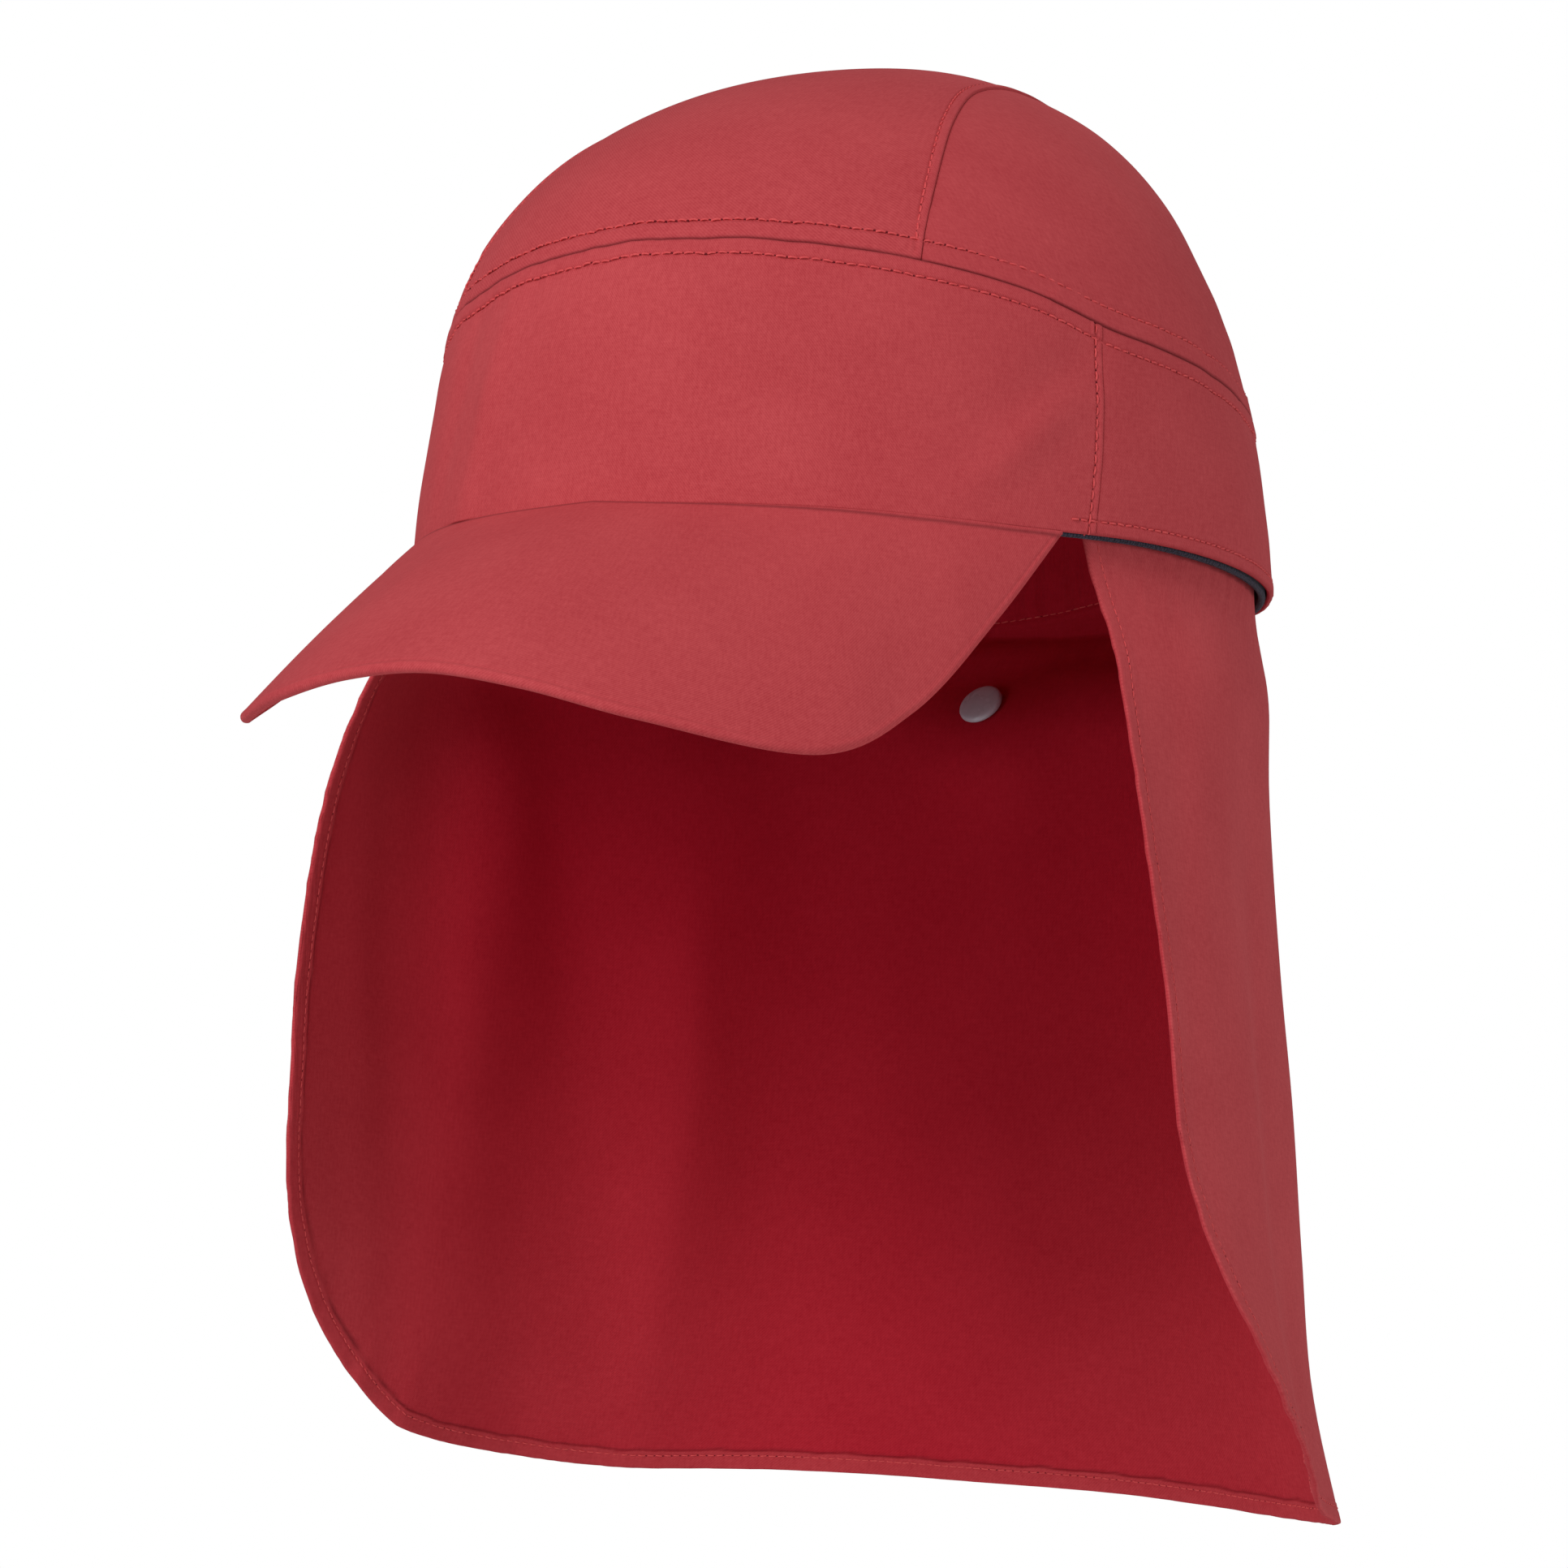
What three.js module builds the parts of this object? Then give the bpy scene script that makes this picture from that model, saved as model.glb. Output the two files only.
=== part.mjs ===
import * as THREE from "three";
import { mergeVertices } from "three/addons/utils/BufferGeometryUtils.js";

// A sun cap with a stiffened peak and a long neck cape, in its worn form.
// Millimetres, +Z up. The peak points to -Y and the wearer's left side is +X.
// The origin is the middle of the head opening, level with the rim at the cap's sides.

// Cloth and the gaps between the pieces
const PANEL_WALL = 1.2;
const SWEATBAND_WALL = 1.6;
const CAPE_WALL = 1.0;
const PEAK_DROP = 2.6; // thickness of the peak, measured straight down
const GAP = 0.3;
const CAPE_GAP = 0.45; // between the sweatband and the cape inside it

// Crown: level sections from the rim to the top. The reaches are measured from the origin.
const CROWN_TOP = 104.4;
const CROWN_BASE = -26;
const CROWN_LEAN = 0.04; // rise for each millimetre towards the wearer's left
const CROWN_SECTIONS = [
  { height: -26, halfWidth: 87.0, front: 103.0, back: 107.5 },
  { height: -8, halfWidth: 87.0, front: 102.0, back: 107.3 },
  { height: 12, halfWidth: 85.8, front: 99.6, back: 103.8 },
  { height: 30, halfWidth: 83.2, front: 95.8, back: 97.5 },
  { height: 45, halfWidth: 80.0, front: 92.6, back: 92.0 },
  { height: 60, halfWidth: 74.8, front: 87.4, back: 83.2 },
  { height: 73, halfWidth: 67.4, front: 77.0, back: 74.8 },
  { height: 86, halfWidth: 55.5, front: 60.5, back: 62.5 },
  { height: 95, halfWidth: 41.5, front: 42.0, back: 48.5 },
  { height: 101, halfWidth: 26.0, front: 21.0, back: 33.5 },
  { height: 104.4, halfWidth: 0.0, front: -14.0, back: 14.0 },
];

// Rim and main seam: heights by the angle from the front
const RIM_LINE = [
  { angle: 0, height: 11.3 },
  { angle: 30, height: 8.6 },
  { angle: 60, height: 3.0 },
  { angle: 75, height: 0.4 },
  { angle: 90, height: -3.2 },
  { angle: 115, height: -9.8 },
  { angle: 140, height: -15.0 },
  { angle: 180, height: -17.0 },
];
const SEAM_LEAN = 3.7; // rise of the main seam on the wearer's left, and its fall on the right
const MAIN_SEAM = [
  { angle: 0, height: 63.5 },
  { angle: 20, height: 61.6 },
  { angle: 40, height: 56.6 },
  { angle: 60, height: 48.6 },
  { angle: 75, height: 39.6 },
  { angle: 90, height: 33.9 },
  { angle: 120, height: 23.0 },
  { angle: 150, height: 19.8 },
  { angle: 180, height: 19.5 },
];

// Side seam of the lower band: its angle from the front at the rim and how it leans back going up
const SIDE_SEAM_ANGLE = 67.3;
const SIDE_SEAM_LEAN = 0.124; // degrees for each millimetre of height

// Top panel: half its width by the distance behind the origin
const TOP_PANEL = [
  { rear: -70, halfWidth: 56.0 },
  { rear: -50, halfWidth: 50.5 },
  { rear: -30, halfWidth: 44.0 },
  { rear: -10, halfWidth: 38.5 },
  { rear: 15, halfWidth: 36.0 },
  { rear: 45, halfWidth: 38.0 },
  { rear: 100, halfWidth: 45.0 },
];

// Peak: the wearer's left half of its front edge, from the middle to near the corner
const PEAK_ANGLE = 63; // where its corner meets the rim, from the front
const PEAK_CAMBER = 3;
const PEAK_LEAN = -0.034; // rise of its edge for each millimetre towards the wearer's left
const PEAK_EDGE = [
  { across: 0.0, forward: 161.0, height: -20.0 },
  { across: 20.0, forward: 158.5, height: -22.2 },
  { across: 41.0, forward: 150.8, height: -27.3 },
  { across: 67.2, forward: 124.5, height: -33.5 },
  { across: 71.8, forward: 98.0, height: -26.0 },
  { across: 73.8, forward: 67.0, height: -8.0 },
];

// Sweatband and the strip of the cape that is sewn inside it
const SWEATBAND_SHOWS = 0.8; // below the rim
const SWEATBAND_HEIGHT = 28;
const CAPE_TUCK = 24; // above the rim
const CAPE_ANGLE = 68; // where the cape's front edges start at the rim, from the front

// Cape: level sections of one half. The front edge is given by its place, the rest by two reaches.
const CAPE_SECTIONS = [
  { height: 10, side: 86.0, back: 97.0, edgeAcross: 74.0, edgeForward: 30.0 },
  { height: -12, side: 91.3, back: 92.2, edgeAcross: 84.3, edgeForward: 38.5 },
  { height: -27, side: 94.4, back: 88.5, edgeAcross: 91.2, edgeForward: 45.7 },
  { height: -52, side: 95.3, back: 87.7, edgeAcross: 98.5, edgeForward: 50.8 },
  { height: -88, side: 98.4, back: 87.8, edgeAcross: 104.8, edgeForward: 51.7 },
  { height: -116, side: 101.7, back: 87.6, edgeAcross: 107.6, edgeForward: 50.9 },
  { height: -147, side: 104.9, back: 86.3, edgeAcross: 115.0, edgeForward: 45.6 },
  { height: -176, side: 109.5, back: 83.0, edgeAcross: 124.2, edgeForward: 36.5 },
  { height: -212, side: 121.0, back: 81.5, edgeAcross: 133.2, edgeForward: 21.0 },
];
const CAPE_LEAVES = 1; // below the rim, where the cape leaves the sweatband
const CAPE_JOIN = 22; // below the rim, where it hangs free
const CAPE_FLARE = 2; // above 1, it turns outwards fastest where it leaves the sweatband
const HEM_HEIGHT = -208; // at the middle of the back
const HEM_RISE = 5; // from there to the front edges
const CORNER_START = 0.17; // where the round front corner starts, from 0 at the back to 1 at the edge
const CORNER_TOP = -113;
const CORNER_POWER = 2.33; // of its oval: 2 is a plain ellipse, and more is squarer

// Soft upright folds of the cape: place from -1 at the wearer's right edge to 1 at the left edge,
// the height where each is deepest, and its reach above and below that
const CAPE_FOLDS = [
  { around: -0.64, width: 0.09, depth: 5.5, height: -60, reach: 100 },
  { around: -0.36, width: 0.1, depth: 10.0, height: -115, reach: 95 },
  { around: -0.03, width: 0.1, depth: 8.0, height: -130, reach: 72 },
  { around: 0.27, width: 0.09, depth: 3.0, height: -120, reach: 90 },
  { around: 0.64, width: 0.08, depth: 2.0, height: -120, reach: 90 },
];
const FOLD_START = -12; // height where the folds begin
const FOLD_FULL = -50;

// Snap button on the inside of the cape
const SNAP_DIAMETER = 10.6;
const SNAP_THICKNESS = 2.2;
const SNAP_AROUND = -0.058;
const SNAP_HEIGHT = -34;
const SNAP_GAP = 0.5; // between it and the cape's even surface, whose facets lie nearer

const SNAP_FACETS = 24;
// Shares of its radius and thickness, from the middle of its base to the middle of its top
const SNAP_PROFILE = [
  [0, 0],
  [0.92, 0],
  [1, 0.35],
  [0.9, 0.72],
  [0.55, 0.95],
  [0, 1],
];

// How finely each wall is divided: columns, then rows
const FRONT_BAND_GRID = [26, 6];
const BACK_BAND_GRID = [36, 5];
const TOP_PANEL_GRID = [14, 18];
const CROWN_PANEL_GRID = [20, 5];
const SWEATBAND_GRID = [52, 3];
const PEAK_GRID = [30, 7];
const CAPE_GRID = [48, 20];
const CAPE_TUCK_ROWS = 2; // of its rows, in the strip inside the sweatband
const CAPE_CROWDING = 0.45; // how much its columns crowd towards the front edges, from 0 to 1
const CAPE_ROW_SPREAD = 1.35; // above 1, its rows crowd below the rim

// Where the corners of the top panel lie: angles from the front that hold one corner each
const FRONT_CORNER_ANGLES = [20, 80];
const BACK_CORNER_ANGLES = [100, 175];

// Small steps and limits of the arithmetic
const DISC_STEP = 1e-3;
const DOWN_STEP = 0.05;
const SMALLEST_RING = 1e-5;
const SEARCH_RING = 0.02;
const HALVINGS = 40;
const SEAM_PASSES = 4;
const SAME_POINT = 1e-3;
const ABOVE_BASE = 2; // the least height over the crown's base that is still on its wall

// Colours and finish
const CORAL_CLOTH = { color: 0xb8444c, roughness: 0.85, metalness: 0 };
const SHADED_CLOTH = { color: 0xa03c44, roughness: 0.85, metalness: 0 };
const DARK_KNIT = { color: 0x2d2d3a, roughness: 0.95, metalness: 0 };
const GREY_PLASTIC = { color: 0xb4b2b8, roughness: 0.3, metalness: 0 };

const radians = THREE.MathUtils.degToRad;
const mix = THREE.MathUtils.lerp;
const smoothstep = THREE.MathUtils.smoothstep;
const clamp = THREE.MathUtils.clamp;

// A smooth curve through a table: one column as a function of the key column, whose values rise.
function curveThrough(rows, key, column) {
  const slope = (i) => {
    const before = rows[Math.max(i - 1, 0)];
    const after = rows[Math.min(i + 1, rows.length - 1)];
    return (after[column] - before[column]) / (after[key] - before[key]);
  };
  return (at) => {
    let i = 0;
    while (i < rows.length - 2 && at > rows[i + 1][key]) {
      i += 1;
    }
    const span = rows[i + 1][key] - rows[i][key];
    const t = clamp((at - rows[i][key]) / span, 0, 1);
    const rise = rows[i + 1][column] - rows[i][column];
    const bend = t * (1 - t) * ((slope(i) * span - rise) * (1 - t) - (slope(i + 1) * span - rise) * t);
    return rows[i][column] + rise * t + bend;
  };
}

// The value between low and high where the rising function passes zero.
function whereZero(rising, low, high) {
  for (let step = 0; step < HALVINGS; step += 1) {
    const middle = (low + high) / 2;
    if (rising(middle) > 0) {
      high = middle;
    } else {
      low = middle;
    }
  }
  return (low + high) / 2;
}

// A closed wall between an outer and an inner face. place(u, v, inside) gives a point of either face.
// A wall that goes all the way round has its last column on its first.
function wall(columns, rows, place, goesRound = false) {
  const positions = [];
  const index = [];
  const across = goesRound ? columns : columns + 1;
  const at = (side, i, j) => side * across * (rows + 1) + (i % across) * (rows + 1) + j;
  for (const inside of [false, true]) {
    for (let i = 0; i < across; i += 1) {
      for (let j = 0; j <= rows; j += 1) {
        positions.push(...place(i / columns, j / rows, inside).toArray());
      }
    }
  }
  const quad = (a, b, c, d) => index.push(a, b, c, a, c, d);
  for (let i = 0; i < columns; i += 1) {
    for (let j = 0; j < rows; j += 1) {
      quad(at(0, i, j), at(0, i + 1, j), at(0, i + 1, j + 1), at(0, i, j + 1));
      quad(at(1, i, j), at(1, i, j + 1), at(1, i + 1, j + 1), at(1, i + 1, j));
    }
    quad(at(0, i + 1, 0), at(0, i, 0), at(1, i, 0), at(1, i + 1, 0));
    quad(at(0, i, rows), at(0, i + 1, rows), at(1, i + 1, rows), at(1, i, rows));
  }
  for (let j = 0; j < rows && !goesRound; j += 1) {
    quad(at(0, 0, j), at(0, 0, j + 1), at(1, 0, j + 1), at(1, 0, j));
    quad(at(0, columns, j + 1), at(0, columns, j), at(1, columns, j), at(1, columns, j + 1));
  }
  return closedGeometry(positions, index);
}

// Joins equal points, leaves out the faces that this folds flat, and turns all faces outwards.
function closedGeometry(positions, index) {
  const loose = new THREE.BufferGeometry();
  loose.setAttribute("position", new THREE.Float32BufferAttribute(positions, 3));
  loose.setIndex(index);
  const merged = mergeVertices(loose, SAME_POINT);
  const corners = merged.index.array;
  const point = (i) => new THREE.Vector3().fromBufferAttribute(merged.attributes.position, i);
  const kept = [];
  let volume = 0;
  for (let i = 0; i < corners.length; i += 3) {
    const [a, b, c] = corners.subarray(i, i + 3);
    if (a !== b && b !== c && c !== a) {
      kept.push(a, b, c);
      volume += point(a).dot(point(b).cross(point(c)));
    }
  }
  merged.setIndex(volume < 0 ? kept.reverse() : kept);
  merged.computeVertexNormals();
  return merged;
}

// The crown's surface over a disc: 0 is the top of the crown and 1 is its base, straight down the wall.
const ringAt = (height) => Math.sqrt((CROWN_TOP - height) / (CROWN_TOP - CROWN_BASE));
const crownRows = CROWN_SECTIONS.map((row) => ({ ...row, ring: ringAt(row.height) })).reverse();
const crownHalfWidth = curveThrough(crownRows, "ring", "halfWidth");
const crownFront = curveThrough(crownRows, "ring", "front");
const crownBack = curveThrough(crownRows, "ring", "back");
const rimHeight = curveThrough(RIM_LINE, "angle", "height");
const evenSeamHeight = curveThrough(MAIN_SEAM, "angle", "height");

// A place on the disc, from an angle round the cap and a height on its wall.
function onDisc(angle, height) {
  const ring = ringAt(height);
  return new THREE.Vector2(ring * Math.sin(radians(angle)), -ring * Math.cos(radians(angle)));
}

// The place on the disc of the crown's point at the given plan position.
function discBelow(x, y) {
  const reach = (ring) => {
    const middle = (crownBack(ring) - crownFront(ring)) / 2;
    const half = (crownBack(ring) + crownFront(ring)) / 2;
    return [x / crownHalfWidth(ring), (y - middle) / half];
  };
  const ring = whereZero((value) => 1 - Math.hypot(...reach(value)), SEARCH_RING, 1);
  return new THREE.Vector2(...reach(ring)).multiplyScalar(ring);
}

function crownSurface(side, rear) {
  const ring = Math.max(Math.hypot(side, rear), SMALLEST_RING);
  const x = (crownHalfWidth(ring) * side) / ring;
  const middle = (crownBack(ring) - crownFront(ring)) / 2;
  const half = (crownBack(ring) + crownFront(ring)) / 2;
  const z = CROWN_TOP - (CROWN_TOP - CROWN_BASE) * ring * ring + CROWN_LEAN * x;
  return new THREE.Vector3(x, middle + (half * rear) / ring, z);
}

// The point that lies the given depth inside the crown's surface.
function crownPoint(disc, depth) {
  const surface = crownSurface(disc.x, disc.y);
  const alongSide = crownSurface(disc.x + DISC_STEP, disc.y).sub(surface);
  const alongRear = crownSurface(disc.x, disc.y + DISC_STEP).sub(surface);
  const inward = alongRear.cross(alongSide).normalize();
  return surface.addScaledVector(inward, depth);
}

const panelPoint = (disc, inside) => crownPoint(disc, inside ? PANEL_WALL : 0);
const fromFront = (angle) => Math.abs(((angle + 180) % 360) - 180);
const seamHeight = (angle) => evenSeamHeight(fromFront(angle)) + SEAM_LEAN * Math.sin(radians(angle));

// Lower bands of the crown, from the rim to the main seam
function bandPanel(grid, angleAt) {
  return wall(...grid, (u, v, inside) => {
    const angle = angleAt(u, v);
    const low = rimHeight(fromFront(angle)) + GAP / 2;
    const high = seamHeight(angle) - GAP / 2;
    return panelPoint(onDisc(angle, mix(low, high, v)), inside);
  });
}

// The angle of a side seam at a share of the way up the band. The hand is 1 on the wearer's left and -1 on the right.
function sideSeam(hand, share) {
  let angle = hand * SIDE_SEAM_ANGLE;
  for (let pass = 0; pass < SEAM_PASSES; pass++) {
    const height = mix(rimHeight(fromFront(angle)), seamHeight(angle), share);
    angle = hand * (SIDE_SEAM_ANGLE + SIDE_SEAM_LEAN * height);
  }
  return angle;
}

const gapAngle = THREE.MathUtils.radToDeg(GAP / 2 / CROWN_SECTIONS[0].halfWidth);

function frontBand() {
  return bandPanel(FRONT_BAND_GRID, (u, v) => mix(sideSeam(-1, v) + gapAngle, sideSeam(1, v) - gapAngle, u));
}

function backBand() {
  return bandPanel(BACK_BAND_GRID, (u, v) => mix(sideSeam(1, v) + gapAngle, 360 + sideSeam(-1, v) - gapAngle, u));
}

// Upper panels of the crown, between the main seam and the two seams of the top panel
const topPanelHalfWidth = curveThrough(TOP_PANEL, "rear", "halfWidth");

const aboveMainSeam = (angle) => onDisc(angle, seamHeight(angle) + GAP / 2);

// Where a line beside the top panel's seam meets the main seam on one side: an angle within a range.
// The hand is 1 on the wearer's left and -1 on the right.
function seamCorner(hand, offset, [from, to]) {
  const outside = (angle) => {
    const place = aboveMainSeam(hand * angle);
    const surface = crownSurface(place.x, place.y);
    return hand * surface.x - topPanelHalfWidth(surface.y) - offset;
  };
  const rising = outside(to) > outside(from) ? 1 : -1;
  return hand * whereZero((angle) => rising * outside(angle), from, to);
}

// A point of a line beside the top panel's seam, from its front corner to its back one
function besideTopSeam(hand, offset, front, back, v) {
  const from = aboveMainSeam(front);
  const to = aboveMainSeam(back);
  if (v === 0 || v === 1) {
    return v === 0 ? from : to;
  }
  const y = mix(crownSurface(from.x, from.y).y, crownSurface(to.x, to.y).y, v);
  return discBelow(hand * (topPanelHalfWidth(y) + offset), y);
}

function topPanel() {
  const [leftFront, rightFront] = [1, -1].map((hand) => seamCorner(hand, -GAP / 2, FRONT_CORNER_ANGLES));
  const [leftBack, rightBack] = [1, -1].map((hand) => seamCorner(hand, -GAP / 2, BACK_CORNER_ANGLES));
  return wall(...TOP_PANEL_GRID, (u, v, inside) => {
    const left = besideTopSeam(1, -GAP / 2, leftFront, leftBack, v);
    const right = besideTopSeam(-1, -GAP / 2, rightFront, rightBack, v);
    const place = right.lerp(left, u);
    const frontEdge = aboveMainSeam(mix(rightFront, leftFront, u));
    const backEdge = aboveMainSeam(mix(360 + rightBack, leftBack, u));
    const frontChord = aboveMainSeam(rightFront).lerp(aboveMainSeam(leftFront), u);
    const backChord = aboveMainSeam(rightBack).lerp(aboveMainSeam(leftBack), u);
    place.add(frontEdge.sub(frontChord).multiplyScalar(1 - v));
    place.add(backEdge.sub(backChord).multiplyScalar(v));
    return panelPoint(place, inside);
  });
}

function crownSidePanel(hand) {
  const front = seamCorner(hand, GAP / 2, FRONT_CORNER_ANGLES);
  const back = seamCorner(hand, GAP / 2, BACK_CORNER_ANGLES);
  return wall(...CROWN_PANEL_GRID, (u, v, inside) => {
    const low = aboveMainSeam(mix(front, back, u));
    const high = besideTopSeam(hand, GAP / 2, front, back, u);
    return panelPoint(low.lerp(high, v), inside);
  });
}

// Sweatband, all the way round inside the rim
function sweatband() {
  const outerDepth = PANEL_WALL + GAP;
  return wall(...SWEATBAND_GRID, (u, v, inside) => {
    const angle = 360 * u;
    const rim = rimHeight(fromFront(angle));
    const height = mix(rim - SWEATBAND_SHOWS, rim + SWEATBAND_HEIGHT, v);
    return crownPoint(onDisc(angle, height), inside ? outerDepth + SWEATBAND_WALL : outerDepth);
  }, true);
}

// Peak: from the gap under the front band out to its edge
function peakBase(u) {
  const angle = PEAK_ANGLE * u;
  return crownPoint(onDisc(angle, rimHeight(Math.abs(angle)) - GAP / 2), PANEL_WALL);
}

function peak() {
  const half = (hand) => PEAK_EDGE.map(({ across, forward, height }) => {
    const x = hand * across;
    return new THREE.Vector3(x, -forward, height + PEAK_LEAN * x);
  });
  const leftHalf = half(1);
  const rightHalf = half(-1).slice(1).reverse();
  const edge = new THREE.CatmullRomCurve3([peakBase(-1), ...rightHalf, ...leftHalf, peakBase(1)]);
  return wall(...PEAK_GRID, (u, v, inside) => {
    const across = 2 * u - 1;
    const point = peakBase(across).lerp(edge.getPointAt(u), v);
    point.z += PEAK_CAMBER * Math.sin(Math.PI * v) * (1 - across * across);
    point.z -= inside ? PEAK_DROP : 0;
    return point;
  });
}

// Cape: its free part as level curves, from the middle of the back to the front edge
const capeRows = [...CAPE_SECTIONS].reverse();
const capeSide = curveThrough(capeRows, "height", "side");
const capeBack = curveThrough(capeRows, "height", "back");
const capeEdgeAcross = curveThrough(capeRows, "height", "edgeAcross");
const capeEdgeForward = curveThrough(capeRows, "height", "edgeForward");

function hangingPoint(around, height) {
  const side = capeSide(height);
  const back = capeBack(height);
  const quarter = Math.SQRT1_2;
  const half = [
    new THREE.Vector3(side * quarter, back * quarter, height),
    new THREE.Vector3(side, 0, height),
    new THREE.Vector3(capeEdgeAcross(height), -capeEdgeForward(height), height),
  ];
  const otherHalf = half.map((point) => point.clone().setX(-point.x)).reverse();
  const level = new THREE.CatmullRomCurve3([...otherHalf, new THREE.Vector3(0, back, height), ...half]);
  return level.getPoint((around + 1) / 2);
}

const tuckedDepth = PANEL_WALL + GAP + SWEATBAND_WALL + CAPE_GAP;

function capeSurface(around, below) {
  const angle = 180 - (180 - CAPE_ANGLE) * around;
  const rim = rimHeight(fromFront(angle));
  const tucked = crownPoint(onDisc(angle, Math.max(rim - below, CROWN_BASE + ABOVE_BASE)), tuckedDepth);
  const height = rim - below;
  const toJoin = clamp((CAPE_JOIN - below) / (CAPE_JOIN - CAPE_LEAVES), 0, 1);
  return tucked.lerp(hangingPoint(around, height), 1 - toJoin ** CAPE_FLARE);
}

function foldDepth(around, height) {
  const growth = 1 - smoothstep(height, FOLD_FULL, FOLD_START);
  const folds = CAPE_FOLDS.map((fold) => {
    const sideways = (around - fold.around) / fold.width;
    const upwards = (height - fold.height) / fold.reach;
    return fold.depth * Math.exp(-(sideways ** 2) - upwards ** 2);
  });
  return growth * folds.reduce((sum, depth) => sum + depth, 0);
}

// A point of the cape at a depth inside its outer face
function capePoint(around, below, depth) {
  const point = capeSurface(around, below);
  const ahead = capeSurface(Math.min(around + DISC_STEP, 1), below);
  const behind = capeSurface(Math.max(around - DISC_STEP, -1), below);
  const down = capeSurface(around, below + DOWN_STEP).sub(point);
  const inward = down.cross(ahead.sub(behind)).normalize();
  return point.addScaledVector(inward, depth + foldDepth(around, point.z));
}

// How far below the rim the hem lies: almost level round the back and rising in a round corner to each edge
function hemBelow(around) {
  const angle = 180 - (180 - CAPE_ANGLE) * around;
  const level = HEM_HEIGHT + HEM_RISE * around * around;
  const corner = Math.max(0, (Math.abs(around) - CORNER_START) / (1 - CORNER_START));
  const oval = (1 - Math.min(corner, 1) ** CORNER_POWER) ** (1 / CORNER_POWER);
  const rise = (CORNER_TOP - level) * (1 - oval);
  return rimHeight(fromFront(angle)) - level - rise;
}

function neckCape() {
  const tuckShare = CAPE_TUCK_ROWS / CAPE_GRID[1];
  return wall(...CAPE_GRID, (u, v, inside) => {
    const around = mix(2 * u - 1, Math.sin((u - 0.5) * Math.PI), CAPE_CROWDING);
    const tucked = mix(-CAPE_TUCK, CAPE_LEAVES, v / tuckShare);
    const fall = Math.max(0, (v - tuckShare) / (1 - tuckShare));
    const free = mix(CAPE_LEAVES, hemBelow(around), fall ** CAPE_ROW_SPREAD);
    return capePoint(around, v < tuckShare ? tucked : free, inside ? CAPE_WALL : 0);
  });
}

// Snap button: a low dome, lying against the inside of the cape
function snapButton() {
  const radius = SNAP_DIAMETER / 2;
  const profile = SNAP_PROFILE.map(([out, up]) => new THREE.Vector2(out * radius, up * SNAP_THICKNESS));
  const geometry = new THREE.LatheGeometry(profile, SNAP_FACETS);
  geometry.deleteAttribute("uv");
  geometry.deleteAttribute("normal");
  return closedGeometry([...geometry.attributes.position.array], [...geometry.index.array]);
}

const cap = new THREE.Group();

function addPiece(name, geometry, finish) {
  const mesh = new THREE.Mesh(geometry, new THREE.MeshStandardMaterial(finish));
  mesh.name = name;
  cap.add(mesh);
  return mesh;
}

addPiece("top_panel", topPanel(), CORAL_CLOTH);
addPiece("left_crown_panel", crownSidePanel(1), CORAL_CLOTH);
addPiece("right_crown_panel", crownSidePanel(-1), CORAL_CLOTH);
addPiece("front_band", frontBand(), CORAL_CLOTH);
addPiece("back_band", backBand(), SHADED_CLOTH);
addPiece("sweatband", sweatband(), DARK_KNIT);
addPiece("peak", peak(), CORAL_CLOTH);
addPiece("neck_cape", neckCape(), SHADED_CLOTH);

const snapBelow = rimHeight(180) - SNAP_HEIGHT;
const snapSeat = capePoint(SNAP_AROUND, snapBelow, CAPE_WALL + SNAP_GAP);
const snapFacing = capePoint(SNAP_AROUND, snapBelow, CAPE_WALL + SNAP_GAP + 1).sub(snapSeat);
const snap = addPiece("snap_button", snapButton(), GREY_PLASTIC);
snap.position.copy(snapSeat);
snap.quaternion.setFromUnitVectors(new THREE.Vector3(0, 1, 0), snapFacing.normalize());

export default cap;
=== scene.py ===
import math

import bmesh
import bpy
import numpy as np
from mathutils import Matrix, Vector
from mathutils.kdtree import KDTree


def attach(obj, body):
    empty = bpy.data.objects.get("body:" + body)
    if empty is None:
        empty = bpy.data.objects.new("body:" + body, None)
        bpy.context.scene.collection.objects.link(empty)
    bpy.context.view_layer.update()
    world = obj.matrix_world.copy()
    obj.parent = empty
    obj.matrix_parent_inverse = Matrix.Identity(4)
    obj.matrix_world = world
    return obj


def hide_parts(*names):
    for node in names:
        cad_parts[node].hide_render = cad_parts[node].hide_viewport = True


# A sun cap with a stiffened peak and a long neck cape. Shapes are worked out in millimetres, in the
# frame's axes: +Z up, the peak towards -Y and the wearer's left towards +X. Meshes are in metres.
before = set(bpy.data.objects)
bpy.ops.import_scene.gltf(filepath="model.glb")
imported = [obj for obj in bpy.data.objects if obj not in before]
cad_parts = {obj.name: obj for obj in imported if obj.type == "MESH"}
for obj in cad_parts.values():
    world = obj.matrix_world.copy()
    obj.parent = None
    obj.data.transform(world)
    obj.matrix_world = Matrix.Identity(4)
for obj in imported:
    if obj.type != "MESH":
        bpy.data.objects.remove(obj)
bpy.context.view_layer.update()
MM = 0.001

# The camera stands level with the rim, 30 degrees round to the wearer's left of the peak, and looks
# slightly down.
CAMERA_PLACE = (640.1, -1132.6, -2.3)
CAMERA_AIM = (-9.49, -7.40, -47.64)
CAMERA_LENS = 140.26  # on a square 36 mm picture


def add_object(name, data):
    made = bpy.data.objects.new(name, data)
    bpy.context.scene.collection.objects.link(made)
    return made


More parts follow.
